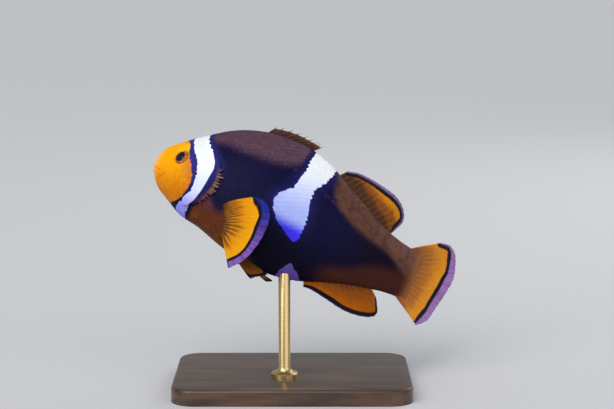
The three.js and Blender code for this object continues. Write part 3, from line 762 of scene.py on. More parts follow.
# %% Relief of the head
COAT = 0.09 * MM
EYE = {"u": 0.149, "z": 0.033, "sunk": 0.85 * MM}
MOUTH = {"z": 0.0, "length": 6.9 * MM, "slant": math.radians(17)}
NOSTRIL = {"u": 0.098, "z": 0.048}
CHEEK = {"u": 0.122, "z": -0.03, "long": 0.052, "tall": 0.058}
FOLD = {"u": 0.078, "z": -0.051, "long": 0.027, "rise": 0.018}


def ridge(distance, width):
    return np.exp(-((distance / width) ** 2))


def away_from(x, z, u, height):
    """Distance along the flank from the point at u and height, both in body lengths."""
    return np.hypot(x - u * BODY_LENGTH, z - height * BODY_LENGTH)


def scaled(u, z):
    """1 where the body bears scales, 0 on the bare snout and round the eyes."""
    share = smooth(u - 0.12 * np.clip(z, 0, 1), 0.128, 0.15)
    return share * smooth(np.hypot(u - EYE["u"], z - EYE["z"]), 0.034, 0.046)


def cheek_fold(u, z):
    """Distance from the fold that runs down and forward under the cheek."""
    run = np.clip((u - FOLD["u"]) / FOLD["long"], 0, 1)
    x, height = u * BODY_LENGTH, z * BODY_LENGTH
    return away_from(x, height, FOLD["u"] + FOLD["long"] * run, FOLD["z"] + FOLD["rise"] * run)


def cheek_edge(u, z):
    """How far outside the cheek's edge a point lies, and 1 on the part below the eye."""
    outside = np.hypot((u - CHEEK["u"]) / CHEEK["long"], (z - CHEEK["z"]) / CHEEK["tall"]) - 1
    return outside, smooth(-(z - 0.015), 0, 0.03) * smooth(u, 0.1, 0.13)


def head_relief(u, z):
    x, height = u * BODY_LENGTH, z * BODY_LENGTH
    line = MOUTH["z"] * BODY_LENGTH - x * math.tan(MOUTH["slant"])
    off = height - line
    mouth = 1 - smooth(x, MOUTH["length"] - 0.9 * MM, MOUTH["length"] + 0.3 * MM)
    lips = ridge(np.abs(off) - 0.62 * MM, 0.48 * MM) * 0.2 * MM
    relief = mouth * (lips - ridge(off, 0.14 * MM) * 0.45 * MM)
    relief -= mouth * ridge(np.abs(off) - 1.35 * MM, 0.22 * MM) * 0.1 * MM
    eye = away_from(x, height, EYE["u"], EYE["z"])
    relief += ridge(eye - 2.35 * MM, 0.38 * MM) * 0.3 * MM
    relief -= (1 - smooth(eye, 1.55 * MM, 2.05 * MM)) * 1.5 * MM
    hole = away_from(x, height, NOSTRIL["u"], NOSTRIL["z"])
    relief += ridge(hole - 0.42 * MM, 0.2 * MM) * 0.2 * MM
    relief -= (1 - smooth(hole, 0.12 * MM, 0.34 * MM)) * 0.45 * MM
    cheek, lower = cheek_edge(u, z)
    relief -= ridge(cheek, 0.04) * lower * 0.12 * MM
    relief += ridge(cheek + 0.09, 0.07) * lower * 0.06 * MM
    relief -= ridge(cheek_fold(u, z), 0.3 * MM) * 0.2 * MM
    # The groove along the foot of the soft dorsal fin.
    top = back_line(u) - height
    rear = smooth(u, 0.6, 0.66) * (1 - smooth(u, 0.86, 0.9))
    return relief - ridge(top - 1.1 * MM, 0.6 * MM) * rear * 0.16 * MM


# %% Skin
def skin_run(s):
    """Distance from the snout in body lengths: rings are closest at the snout."""
    start = 0.13 * (s / 0.3) ** 2
    rest = 0.13 + (0.87 + TAIL_RUN) * (0.62 * (s - 0.3) / 0.7 + 0.38 * ((s - 0.3) / 0.7) ** 1.5)
    return np.where(s < 0.3, start, rest)


def skin_place(s, t):
    u, angle = skin_run(s), -math.pi / 2 + 2 * math.pi * t
    p = skin(u, angle)
    z = p[:, 2] / BODY_LENGTH
    rise = head_relief(u, z) - COAT * scaled(u, z)
    rise *= smooth(u, 0.0, 0.004) * (1 - smooth(u, 1.01, 1 + TAIL_RUN))
    return p + skin_normal(u, angle) * rise[:, None]


body, s, t = sheet("body_skin", 210, 200, lambda s, t: posed(skin_place(s, t)))
straight = skin_place(s, t)
tone = np.full(len(s), 0.5)
fish_u, fish_z = straight[:, 0] / BODY_LENGTH, straight[:, 2] / BODY_LENGTH
note(body, "fish_place", points(fish_u, tone, fish_z))
# The note below carries painted shade into the cheek's fold and edge.
outside, lower = cheek_edge(fish_u, fish_z)
fold = ridge(cheek_fold(fish_u, fish_z), 0.35 * MM)
note(body, "crease", np.maximum(0.6 * ridge(outside, 0.05) * lower, fold), "FLOAT")
close_up(body, 2e-6)
smooth_faces(body)
finish_piece(body, skin_paint, "flank_skin", "head", "trunk", "tail_stalk")

# %% [markdown]
# ## The scales
#
# Each side gets thirty rows of small scales from belly to back, about ninety to a row. They
# overlap like roof tiles and get smaller towards the tail. One scale is modelled as a thin
# plate with a rounded rear edge. A loop then lays copies of it along the rows: every corner
# goes to its own place on the body, so that each scale curves with the skin under it.

# %% One scale
deselect()
bpy.ops.mesh.primitive_grid_add(x_subdivisions=3, y_subdivisions=4, size=1)
pattern = bpy.context.object
bpy.ops.object.mode_set(mode="EDIT")
bpy.ops.mesh.select_all(action="SELECT")
bpy.ops.mesh.extrude_region_move(TRANSFORM_OT_translate={"value": (0, 0, -1)})
bpy.ops.mesh.select_all(action="SELECT")
bpy.ops.mesh.normals_make_consistent(inside=False)
bpy.ops.object.mode_set(mode="OBJECT")
unit_scale = np.array([v.co for v in pattern.data.vertices])
unit_faces = [list(polygon.vertices) for polygon in pattern.data.polygons]
bpy.data.objects.remove(pattern)
print("one scale:", len(unit_scale), "corners,", len(unit_faces), "faces")

# %% Rows of even height on every section
ROWS = 30
ROW_U = np.linspace(0.08, 1.0 + TAIL_RUN, 140)
ROW_W = np.linspace(0, 1, 65)
fine = np.linspace(-math.pi / 2, math.pi / 2, 241)
ring = skin(ROW_U[:, None], fine[None, :])
steps = np.linalg.norm(np.diff(ring, axis=1), axis=-1)
ring_length = np.concatenate([np.zeros((len(ROW_U), 1)), np.cumsum(steps, axis=1)], axis=1)
ROW_ANGLE = np.array([np.interp(ROW_W * run[-1], run, fine) for run in ring_length])
HALF_ROUND = ring_length[:, -1]


def row_angle(u, w):
    """The angle at share w of the way from belly to back, past them on the other side."""
    inner = np.abs(w)
    inner = np.where(inner > 1, 2 - inner, inner)
    i = np.clip(np.searchsorted(ROW_U, u) - 1, 0, len(ROW_U) - 2)
    tu = np.clip((u - ROW_U[i]) / (ROW_U[i + 1] - ROW_U[i]), 0, 1)
    j = np.clip((inner * (len(ROW_W) - 1)).astype(int), 0, len(ROW_W) - 2)
    tw = inner * (len(ROW_W) - 1) - j
    before = lerp(ROW_ANGLE[i, j], ROW_ANGLE[i, j + 1], tw)
    behind = lerp(ROW_ANGLE[i + 1, j], ROW_ANGLE[i + 1, j + 1], tw)
    angle = lerp(before, behind, tu)
    return np.where(w < 0, -math.pi - angle, np.where(w > 1, math.pi - angle, angle))


def row_pitch(u):
    return np.interp(u, ROW_U, HALF_ROUND) / ROWS


# %% The gill cover's own outline, which the scales follow
GILL = {"u": 0.215, "z": -0.018, "long": 0.088, "tall": 0.1, "from": -96, "to": 60}
COVER_RISE = 0.32 * MM
COVER_THICK = 0.28 * MM


def gill_share(u, z):
    """How far out a point lies on the gill cover, 1 at its rear edge, and 0 beyond its ends."""
    out = np.hypot((u - GILL["u"]) / GILL["long"], (z - GILL["z"]) / GILL["tall"])
    turn = np.degrees(np.arctan2((z - GILL["z"]) / GILL["tall"], (u - GILL["u"]) / GILL["long"]))
    within = (turn > GILL["from"] + 4) & (turn < GILL["to"] - 3)
    return np.where(within, out, 0)


def cover_rise(share):
    return lerp(-0.5 * MM, COVER_RISE, smooth(share, 0.5, 0.86))


# %% Lay the scales
SCALE_THICK = 0.035 * MM
FIRST_COLUMN = 0.112
COLUMN_STEP = 0.9  # of a row's height, as are the next two
SCALE_LONG = 1.75
SCALE_WIDE = 1.16
chance = np.random.default_rng(7)


def lay_scales(side):
    roots = []
    u, column = FIRST_COLUMN, 0
    while u < 1.0 + TAIL_RUN * 0.72:
        shift = 0.5 * (column % 2)
        for k in range(ROWS + column % 2):
            roots.append((u, (k + 0.5 - shift) / ROWS))
        u += COLUMN_STEP * float(row_pitch(u)) / BODY_LENGTH
        column += 1
    roots = np.array(roots)
    u0, w0 = roots.T
    edge_row = (w0 < 0.01) | (w0 > 0.99)
    pitch = row_pitch(u0)
    middle = skin(u0 + 0.5 * pitch / BODY_LENGTH, row_angle(u0, w0))
    z0 = middle[:, 2] / BODY_LENGTH
    share = gill_share(u0, z0)
    tail = gill_share(u0 + 1.3 * pitch / BODY_LENGTH, z0)
    crossing = (share > 0.5) & (share < 1) & (tail > 0.97)
    bare = scaled(u0 + 0.6 * pitch / BODY_LENGTH, z0) < 0.5
    hidden_root = (share > 1.0) & (share < 1.03)
    keep = ~(bare | crossing | hidden_root | (edge_row & (side > 0)))
    u0, w0, pitch, z0, share = (v[keep] for v in (u0, w0, pitch, z0, share))
    n = len(u0)
    print(column, "columns of", ROWS, "rows, of which", n, "scales are kept")
    p = unit_scale[None, :, 0] + 0.5
    q = unit_scale[None, :, 1]
    layer = unit_scale[None, :, 2]
    grow = chance.uniform(0.94, 1.06, (n, 1))
    run = p * (1 - 0.36 * (2 * q) ** 2) * SCALE_LONG * grow
    u = u0[:, None] + run * pitch[:, None] / BODY_LENGTH
    u = np.minimum(u, 1 + TAIL_RUN * 0.97)
    w = w0[:, None] + q * SCALE_WIDE * grow / ROWS
    angle = row_angle(u, w)
    base = skin(u, angle)
    z = base[..., 2] / BODY_LENGTH
    on_cover = (share > 0.5) & (share < 1)
    cover = np.where(on_cover[:, None], np.maximum(0, cover_rise(gill_share(u, z))), 0)
    level = head_relief(u, z) - COAT * scaled(u, z) + cover
    lift = lerp(-0.05 * MM, 0.055 * MM, p) * np.minimum(1, pitch[:, None] / MM)
    crown = 0.018 * MM * (1 - (2 * q) ** 2)
    off_line = z0 - along(LATERAL_LINE, np.clip(u0, 0.28, 0.82))
    tube = ridge(off_line, 0.008) * smooth(u0, 0.28, 0.3) * (1 - smooth(u0, 0.8, 0.83))
    crown = crown + 0.05 * MM * tube[:, None] * ridge(q, 0.16)
    rise = level + lift + crown + layer * SCALE_THICK + chance.uniform(-6e-6, 6e-6, (n, 1))
    if side < 0:
        angle = math.pi - angle
    place = posed(skin(u, angle) + skin_normal(u, angle) * rise[..., None])
    root_u = u0 + 0.9 * pitch / BODY_LENGTH
    note_u = lerp(root_u[:, None], u, 0.7)
    note_z = lerp(z0[:, None], z, 0.7)
    tone = np.broadcast_to(chance.uniform(0, 1, (n, 1)), u.shape)
    out = np.broadcast_to(p * (1 - 0.25 * (2 * q) ** 2), u.shape)
    return place, points(note_u, tone, note_z), out, u0, w0


def coat(name, side, chosen, place, place_note, out, u0, w0):
    """One mesh of the scales that were chosen."""
    place, place_note, out, u0, w0 = (v[chosen] for v in (place, place_note, out, u0, w0))
    n, corners = place.shape[:2]
    faces = np.array(unit_faces)[None] + np.arange(n)[:, None, None] * corners
    if side > 0:
        faces = faces[..., ::-1]
    mesh = bpy.data.meshes.new(name)
    mesh.from_pydata(place.reshape(-1, 3), [], faces.reshape(-1, 4).tolist())
    obj = bpy.data.objects.new(name, mesh)
    bpy.context.scene.collection.objects.link(obj)
    note(obj, "fish_place", place_note)
    note(obj, "on_scale", out, "FLOAT")
    # Each scale gets a patch of its own in the bake layout, at its root's place on the unrolled
    # skin.
    patch = unit_scale[:, :2] * 0.003
    spread = np.stack([0.01 + 0.98 * u0 / (1 + TAIL_RUN), 0.01 + 0.98 * w0], -1)
    uv = spread[:, None, :] + patch[None]
    layer = mesh.uv_layers.new(name="OFBake")
    corner_of = np.empty(len(mesh.loops), int)
    mesh.loops.foreach_get("vertex_index", corner_of)
    layer.data.foreach_set("uv", uv.reshape(-1, 2)[corner_of].ravel().astype(np.float32))
    choose(obj)
    bpy.ops.object.shade_smooth_by_angle(angle=math.radians(40))
    print(n, "scales")
    finish_piece(obj, scale_paint, "flank_skin")


for side, name in ((-1, "left"), (1, "right")):
    laid = lay_scales(side)
    ahead = laid[3] < 0.42
    coat("scales_front_" + name, side, ahead, *laid)
    coat("scales_rear_" + name, side, ~ahead, *laid)

# %% [markdown]
# ## Gill covers
#
# The bony cover of the gills is a thin shield that hinges on the cheek and ends in a free rear
# edge, which on this fish is fringed with small golden spines. Each is a sheet laid round the
# cheek. Its front sinks under the skin, so that no seam shows, its rear edge stands free, and
# its spines are ridges that run out past that edge. Solidify gives the sheet its thickness.

# %% Gill covers
SPINES = 31
spine_length = np.random.default_rng(3).uniform(0.3, 1.2, SPINES + 1)


def cover_place(s, t, side):
    turn = np.radians(lerp(GILL["from"] + 2, GILL["to"] - 2, s))
    fade = smooth(s, 0.1, 0.28) * (1 - smooth(s, 0.74, 0.86))
    uneven = s + 0.009 * np.sin(2 * math.pi * 6.3 * s) + 0.004 * np.sin(2 * math.pi * 15.7 * s)
    own = spine_length[np.clip(np.round(SPINES * uneven).astype(int), 0, SPINES)]
    wave = 0.5 + 0.5 * np.cos(2 * math.pi * SPINES * uneven)
    edge = fade * smooth(t, 0.86, 1.0)
    share = lerp(0.5, 1.0, t) - 0.03 * edge
    reach = 0.015 * own * wave**2.5 * edge
    spine = fade * own * (wave - 0.5) * smooth(share, 0.78, 0.94)
    # A spine points half outwards from the cheek's middle and half straight back.
    u = GILL["u"] + GILL["long"] * share * np.cos(turn) + reach * (0.5 * np.cos(turn) + 0.5)
    z = GILL["z"] + GILL["tall"] * share * np.sin(turn) + reach * 0.5 * np.sin(turn)
    rise = cover_rise(share) * (1 - 0.35 * smooth(np.abs(2 * s - 1), 0.75, 1.0))
    rise += spine * 0.16 * MM - reach / 0.015 * 0.12 * MM
    return flank(u, z * BODY_LENGTH, side, rise), u, z, spine


for side, name in ((-1, "gill_cover_left"), (1, "gill_cover_right")):
    cover, s, t = sheet(
        name + "_skin", SPINES * 12, 26, lambda s, t: posed(cover_place(s, t, side)[0])
    )
    _, cover_u, cover_z, spine = cover_place(s, t, side)
    note(cover, "fish_place", points(cover_u, 0.5, cover_z))
    zone = smooth(t, 0.72, 0.9) * smooth(s, 0.12, 0.3) * (1 - smooth(s, 0.72, 0.8))
    gold = zone * (0.2 + 0.8 * np.clip(spine * 2.8, 0, 1))
    note(cover, "gold", gold, "FLOAT")
    thicken(cover, COVER_THICK, -1 if side < 0 else 1)
    finish_piece(cover, skin_paint, "gill_skin", name)

# %% [markdown]
# ## Eyes
#
# The eye is a slightly flattened ball under a clear dome. Its pupil is a pit, wide and set
# towards the front, and the iris round it is streaked with orange brown, with a dark line at
# the pupil. A sphere with its pole turned outwards has its rings where pupil and iris need
# them, so the pit is made by sinking the rings near the pole. The dome is a second, clear piece
# that gives the wet glint.


# %% Eyes
def eye_seat(side):
    z = np.array(EYE["z"] * BODY_LENGTH)
    seat = flank(np.array(EYE["u"]), z, side)
    out = unit(flank(np.array(EYE["u"]), z, side, 1.0) - seat)
    first = unit(np.cross([0, 0, 1], out))
    if first[0] > 0:
        first = -first
    return seat, out, first, unit(np.cross(out, first))


def eye_round(name, side, radius, depth, shape=None):
    """A ball in the eye's seat. shape(ahead, up, height) gives its heights, if not a ball's."""
    seat, out, ahead_way, up_way = eye_seat(side)
    deselect()
    bpy.ops.mesh.primitive_uv_sphere_add(segments=64, ring_count=44, radius=1)
    obj = bpy.context.object
    obj.name = obj.data.name = name
    ball = np.array([v.co for v in obj.data.vertices])
    ahead, up, height = ball.T
    if shape is not None:
        height = shape(ahead, up, height)
    place = seat + radius * (ahead[:, None] * ahead_way + up[:, None] * up_way)
    place = place + (depth * height - EYE["sunk"])[:, None] * out
    obj.data.vertices.foreach_set("co", posed(place).ravel())
    note(obj, "eye_place", points(ahead * radius / MM, up * radius / MM, height))
    close_up(obj)
    smooth_faces(obj)
    return obj


PUPIL_AHEAD = 0.14
PUPIL = 0.58
EYE_BLACK = (0.006, 0.002, 0.014)
IRIS = (0.34, 0.11, 0.02)
IRIS_PALE = (0.6, 0.22, 0.03)
IRIS_SHADOW = (0.05, 0.012, 0.02)
IRIS_LINE = (0.14, 0.05, 0.012)
IRIS_RIM = (0.6, 0.19, 0.003)


def pitted(ahead, up, height):
    off = np.hypot(ahead - PUPIL_AHEAD, up)
    pit = (1 - smooth(off, PUPIL - 0.08, PUPIL + 0.02)) * (height > 0)
    iris = (1 - smooth(off, PUPIL, 0.9)) * (height > 0)
    return height - 0.22 * iris - 0.3 * pit


eye_paint = Finish("eye_iris", roughness=0.35, Specular_IOR_Level=0.2)
place = eye_paint.attribute("eye_place")
from_pupil = eye_paint.node(
    "VectorMath", {0: place, 1: (PUPIL_AHEAD * 2.0, 0.0, 0.0)}, operation="SUBTRACT"
)
flat = eye_paint.stretch(from_pupil, (1.0, 1.0, 0.0))
off = eye_paint.node("VectorMath", {0: flat}, operation="LENGTH", output=1)
east, north, _ = eye_paint.split(flat)
way = eye_paint.math("ARCTAN2", north, east)
streak = eye_paint.noise(
    eye_paint.node("CombineXYZ", {0: eye_paint.times(way, 7.0), 1: off}), 1.6, 4
)
pupil_edge = PUPIL * 2.0
iris = eye_paint.mix(streak, IRIS, IRIS_PALE)
shadow = eye_paint.between(off, pupil_edge + 0.35, pupil_edge)
iris = eye_paint.mix(eye_paint.times(shadow, 0.8), iris, IRIS_SHADOW)
iris = eye_paint.mix(eye_paint.between(off, 1.6, 2.2), iris, IRIS_RIM)
glint = eye_paint.times(
    eye_paint.between(off, pupil_edge - 0.02, pupil_edge + 0.03),
    eye_paint.between(off, pupil_edge + 0.17, pupil_edge + 0.06),
)
iris = eye_paint.mix(glint, iris, IRIS_LINE)
pupil = eye_paint.between(off, pupil_edge + 0.03, pupil_edge - 0.03)
eye_paint.join("Base Color", eye_paint.mix(pupil, iris, EYE_BLACK))
eye_paint.join("Normal", eye_paint.relief(streak, 0.00001))

clear = Finish(
    "eye_dome", roughness=0.03, Transmission_Weight=1.0, IOR=1.22, Base_Color=(1, 1, 1, 1),
    Specular_IOR_Level=0.15,
)
for side, name in ((-1, "eye_left"), (1, "eye_right")):
    ball = eye_round(name + "_ball", side, 2.0 * MM, 1.5 * MM, pitted)
    finish_piece(ball, eye_paint, "eye", name)
    dome = eye_round(name + "_dome", side, 2.06 * MM, 1.62 * MM)
    finish_piece(dome, clear, "eye")

# %% [markdown]
# ## Fins
#
# A fin is a thin skin held open by rays. Each soft ray is one stiff stem at its root, splits in
# two half way out and in four near the edge. The fin is a sheet with twelve columns to a ray.
# Every corner gets a weight that says how thick the fin is there, and the Solidify modifier
# reads that weight, so that the rays come out as ridges on both faces of one closed piece.


# %% The fin helper
RAY_COLUMNS = 12


def branches(phase, r, splits):
    """The ridge of the nearest ray at phase (a whole number on each ray) and share r out."""
    off = phase - np.round(phase)
    first = 0.17 * smooth(r, 0.42, 0.85) * splits
    second = 0.075 * smooth(r, 0.72, 1.0) * splits
    width = lerp(0.17, 0.06, smooth(r, 0.1, 0.95))
    height = np.zeros_like(off)
    for a in (-1, 1):
        for b in (-1, 1):
            height = np.maximum(height, ridge(off - a * first - b * second, width))
    return height


def edge_distance(place, boundary):
    """Least distance of each point to a line of points, in millimetres."""
    best = np.full(len(place), 1e9)
    for chunk in np.array_split(boundary, 8):
        d = np.linalg.norm(place[:, None] - chunk[None], axis=-1).min(1)
        best = np.minimum(best, d)
    return best / MM


def fin(name, rays, rows, root, tip, lean, bow=None, stiff_at=None, splits=1.0, notch=0.012,
        side_rim=0.9, side_from=0.6, ruffle=0.25, base=0.5, membrane=0.2):
    """A rayed fin between root(a) and tip(a), for a from the first ray to the last."""

    def plan(a, r):
        return lerp(root(a), tip(a), r[..., None])

    def place(a, r):
        p = plan(a, r)
        p[..., 1] += lean(a, r)
        wave = np.sin(a * (rays - 1) * 0.9 + 1.3 * math.pi * r) * r**2.5
        p[..., 1] += ruffle * MM * wave
        if bow is not None:
            p[..., 2] += bow(a, r)
        return p

    def free(s, t):
        """The membrane falls a little short of the rays' tips."""
        phase = s * (rays - 1)
        valley = 1 - branches(phase, np.ones_like(s), splits)
        return t * (1 - notch * valley * smooth(t, 0.6, 1.0))

    obj, s, t = sheet(
        name, RAY_COLUMNS * (rays - 1), rows, lambda s, t: posed(place(s, free(s, t)), stiff_at)
    )
    r = free(s, t)
    ray = branches(s * (rays - 1), r, splits)
    flat = plan(s, r)
    line = np.linspace(0, 1, 160)
    outer = plan(line, np.ones_like(line))
    reach = edge_distance(flat, outer)
    sides = np.minimum(
        edge_distance(flat, plan(np.zeros(80), np.linspace(0.3, 1, 80))),
        edge_distance(flat, plan(np.ones(80), np.linspace(0.3, 1, 80))),
    )
    reach = np.minimum(reach, sides / side_rim + 5 * (1 - smooth(r, side_from, 0.97)))
    note(obj, "fin_place", points(s * (rays - 1), r, reach))
    note(obj, "ray", ray, "FLOAT")
    length = np.linalg.norm(tip(s) - root(s), axis=-1) * r / MM
    note(obj, "along_ray", length, "FLOAT")
    stem = base * lerp(1.0, 0.3, smooth(r, 0.0, 1.0))
    thick = membrane * lerp(1.0, 0.6, r) + ray * (stem - membrane * 0.5).clip(0.06, 1)
    most = thick.max()
    group = obj.vertex_groups.new(name="thickness")
    for share in range(1, 101):
        chosen = np.flatnonzero(np.round(thick / most * 100) == share)
        if len(chosen):
            group.add(chosen.tolist(), share / 100, "REPLACE")
    thicken(obj, most * MM, 0, "thickness")
    return obj


# %% The fins' finish
BLACK = (0.006, 0.004, 0.01)
GOLDEN = (0.72, 0.25, 0.0015)
BRIGHT = (0.78, 0.34, 0.001)
UMBER = (0.06, 0.022, 0.012)
PALE_MAUVE = (0.22, 0.12, 0.3)
NO_RIM = [[0, 0], [1, 0]]


def fin_finish(name, rays, colours, spread, line, rim, pleat_shade, rim_run, veil, see_through=0.15,
               dusk=0.0, grain_depth=0.45, ray_highlight=0.22):
    """Colours from the root out over the shares in spread; line and rim in millimetres."""
    f = Finish(
        name, roughness=0.42, Specular_IOR_Level=0.09, Subsurface_Weight=0.12,
        Subsurface_Scale=0.6 * MM, Subsurface_Radius=(1.0, 0.5, 0.25),
    )
    phase, r, edge = f.split(f.attribute("fin_place"))
    ray = f.attribute("ray", "Fac")
    reach = f.attribute("along_ray", "Fac")
    share = f.math("DIVIDE", phase, rays - 1.0)
    object_place = f.node("TexCoord", output=3)
    mottle = f.noise(object_place, 420.0, 4, 0.6)
    uneven = f.times_plus(f.minus(mottle, 0.5), 0.35, r)
    uneven = f.times_plus(f.between(share, 0.6, 0.0), -dusk, uneven)
    colour = f.mix(f.between(uneven, spread[0], spread[1]), colours[0], colours[1])
    colour = f.mix(f.between(uneven, spread[1], spread[2]), colour, colours[2])

    # Painted shade in the folds between the rays, each of its own length, and a painted highlight
    # on the rays.
    own = f.noise(f.node("CombineXYZ", {0: f.times(phase, 0.8)}), 1.0, 1)
    end = f.times_plus(own, 0.7, spread[1] - 0.2)
    dark = f.times(f.between(ray, 0.7, 0.2), f.between(f.minus(end, r), -0.1, 0.15))
    colour = f.mix(f.times(dark, pleat_shade), colour, colours[0])
    colour = f.mix(f.times(ray, ray_highlight), colour, colours[2])

    # The black line, and the veil-like rim outside it, whose width changes along the fin.
    run = f.curve(share, rim_run, low=0.0, high=1.0)
    width = f.times(run, rim)
    wander = f.times_plus(f.minus(mottle, 0.5), 0.4, edge)
    into = f.minus(wander, width)
    into = f.times_plus(run, -0.6 * line, into)
    colour = f.mix(f.between(into, 0.4 * line + 0.14, 0.4 * line - 0.14), colour, BLACK)
    pale = f.between(f.minus(edge, width), 0.1, -0.25)
    grain = f.node("CombineXYZ", {0: f.times(phase, 2.6), 1: r})
    hatch = f.noise(grain, 1.3, 3, 0.7)
    soft = f.mix(f.between(share, 0.45, 0.95), *veil)
    hatch = f.times_plus(f.between(hatch, 0.3, 0.7), grain_depth, 1 - 0.5 * grain_depth)
    soft = f.node("VectorMath", {0: soft, 3: hatch}, operation="SCALE")
    colour = f.mix(pale, colour, soft)
    f.join("Base Color", colour)
    rings = f.node("TexWave", {"Vector": f.node("CombineXYZ", {0: reach}), "Scale": 1.1},
                   bands_direction="X")
    steps = f.times(rings, ray)
    f.join("Normal", f.relief(f.math("ADD", steps, mottle), 0.00003))
    f.join("Roughness", f.times_plus(mottle, 0.25, 0.3))
    f.join("Alpha", f.minus(1.0, f.times(pale, see_through)))
    return f


FIN_ROOT = 1.6 * MM
PAIRED_ROOT = 0.5 * MM


def on_back(u):
    return points(u * BODY_LENGTH, 0, back_line(u) - FIN_ROOT)


def on_belly(u):
    return points(u * BODY_LENGTH, 0, belly_line(u) + FIN_ROOT)


def outline(stations):
    """The outer edge of a fin, from stations [share, u, height] in body lengths."""
    us = [[at, u] for at, u, _ in stations]
    zs = [[at, z] for at, _, z in stations]
    return lambda a: BODY_LENGTH * points(along(us, a), 0, along(zs, a))


# %% Tail fin
tail_tip = outline([
    [0, 1.1, 0.163], [0.13, 1.16, 0.179], [0.26, 1.222, 0.166], [0.41, 1.258, 0.107],
    [0.53, 1.252, 0.053], [0.64, 1.24, 0], [0.76, 1.22, -0.05], [0.86, 1.196, -0.092],
    [1, 1.143, -0.134],
])
tail_fin = fin(
    "tail_fin_skin", 17, 60,
    root=lambda a: points(BODY_LENGTH - FIN_ROOT, 0, BODY_LENGTH * lerp(0.078, -0.078, a)),
    tip=tail_tip,
    lean=lambda a, r: MM * (1.1 * np.sin(np.pi * r) * np.sin(np.pi * a) - 0.8 * r),
    side_rim=0.25,
)
tail_paint = fin_finish(
    "tail_membrane", 17, ((0.21, 0.075, 0.032), (0.46, 0.15, 0.022), (0.78, 0.29, 0.014)),
    (0.15, 0.42, 0.75), 1.35, 3.1, 0.3,
    [[0, 0.1], [0.15, 0.2], [0.25, 0.5], [0.35, 0.88], [0.5, 1.0], [0.75, 0.8], [0.9, 0.5],
     [1, 0.2]],
    ((0.36, 0.19, 0.5), (0.36, 0.19, 0.5)),
)
finish_piece(tail_fin, tail_paint, "fin_orange", "tail_fin")

# %% Soft and spiny parts of the dorsal fin
soft_fin = fin(
    "dorsal_soft_skin", 15, 52,
    root=lambda a: on_back(lerp(0.625, 0.868, a)),
    tip=outline([
        [0, 0.66, 0.218], [0.1, 0.7, 0.23], [0.28, 0.76, 0.2335], [0.46, 0.815, 0.229],
        [0.64, 0.874, 0.219], [0.8, 0.917, 0.195], [0.92, 0.93, 0.157], [1, 0.905, 0.107],
    ]),
    lean=lambda a, r: 1.8 * MM * r**2,
)
soft_paint = fin_finish(
    "dorsal_membrane", 15, (UMBER, (0.26, 0.072, 0.007), (0.58, 0.21, 0.0005)), (0.24, 0.5, 0.74),
    1.1, 1.0, 0.15, [[0, 0.5], [0.3, 0.8], [0.7, 1.0], [1, 0.6]], (PALE_MAUVE, PALE_MAUVE),
    dusk=0.35, ray_highlight=0.1,
)
finish_piece(soft_fin, soft_paint, "fin_orange", "dorsal_fin_soft")


def spine_tip(a):
    u = lerp(0.335, 0.505, a)
    length = lerp(0.047, 0.08, smooth(a, 0, 0.5)) - 0.035 * smooth(a, 0.6, 1)
    over = lerp(0.027, 0.032, smooth(a, 0, 0.4))
    end = u + length
    return points(end * BODY_LENGTH, 0, back_line(end) + over * BODY_LENGTH)


spiny_fin = fin(
    "dorsal_spiny_skin", 10, 34,
    root=lambda a: on_back(lerp(0.335, 0.505, a)),
    tip=spine_tip,
    lean=lambda a, r: -0.9 * MM * r**2,
    splits=0.0, notch=0.2, base=0.62, membrane=0.16, ruffle=0.15, side_rim=4.0,
)
spiny_paint = fin_finish(
    "spine_membrane", 10, ((0.03, 0.012, 0.012), (0.085, 0.035, 0.025), (0.16, 0.085, 0.025)),
    (0.3, 0.6, 1.0), 0.6, 0.0, 0.5, NO_RIM, (PALE_MAUVE, PALE_MAUVE), 0.0,
)
finish_piece(spiny_fin, spiny_paint, "spine_brown", "dorsal_fin_spiny")

# %% Anal fin
anal_fin = fin(
    "anal_fin_skin", 13, 52,
    root=lambda a: on_belly(lerp(0.655, 0.868, a)),
    tip=outline([
        [0, 0.672, -0.21], [0.12, 0.7, -0.207], [0.3, 0.765, -0.212], [0.5, 0.84, -0.219],
        [0.66, 0.9, -0.211], [0.8, 0.955, -0.19], [0.92, 0.972, -0.163], [1, 0.945, -0.125],
    ]),
    lean=lambda a, r: 1.2 * MM * r**2,
)
anal_paint = fin_finish(
    "anal_membrane", 13, (RUST, (0.27, 0.066, 0.002), (0.42, 0.1, 0.0)), (0.1, 0.4, 0.8),
    0.9, 0.3, 0.15, [[0, 0.4], [0.5, 1.0], [1, 1.0]], ((0.1, 0.06, 0.2), (0.1, 0.06, 0.2)),
)
finish_piece(anal_fin, anal_paint, "fin_orange", "anal_fin")

# %% [markdown]
# ## The paired fins
#
# The pectoral fins sit behind the gill covers and row; the pelvic fins hang under the breast
# and steer. Each side has its own spread: in this turn the left pectoral is held wide open. They
# use the same fin helper, with a root line on the flank and a tip line that fans out from it.

# %% Pectoral fins
PECTORAL = [
    [0, 19, 0.148], [0.12, 19.2, 0.169], [0.25, 18, 0.188], [0.4, 14, 0.206], [0.55, 8.1, 0.212],
    [0.7, -0.5, 0.202], [0.82, -12.8, 0.189], [0.92, -29.3, 0.174], [1, -49.7, 0.148],
]
pectoral_paint = fin_finish(
    "pectoral_membrane", 16, (UMBER, GOLDEN, BRIGHT), (0.05, 0.3, 0.8), 1.0, 2.7, 0.7,
    [[0, 0.12], [0.12, 0.26], [0.22, 0.4], [0.32, 0.6], [0.45, 0.88], [0.6, 1.0], [0.85, 0.8],
     [1, 0.7]],
    ((0.018, 0.022, 0.28), (0.2, 0.09, 0.38)), grain_depth=0.9,
)


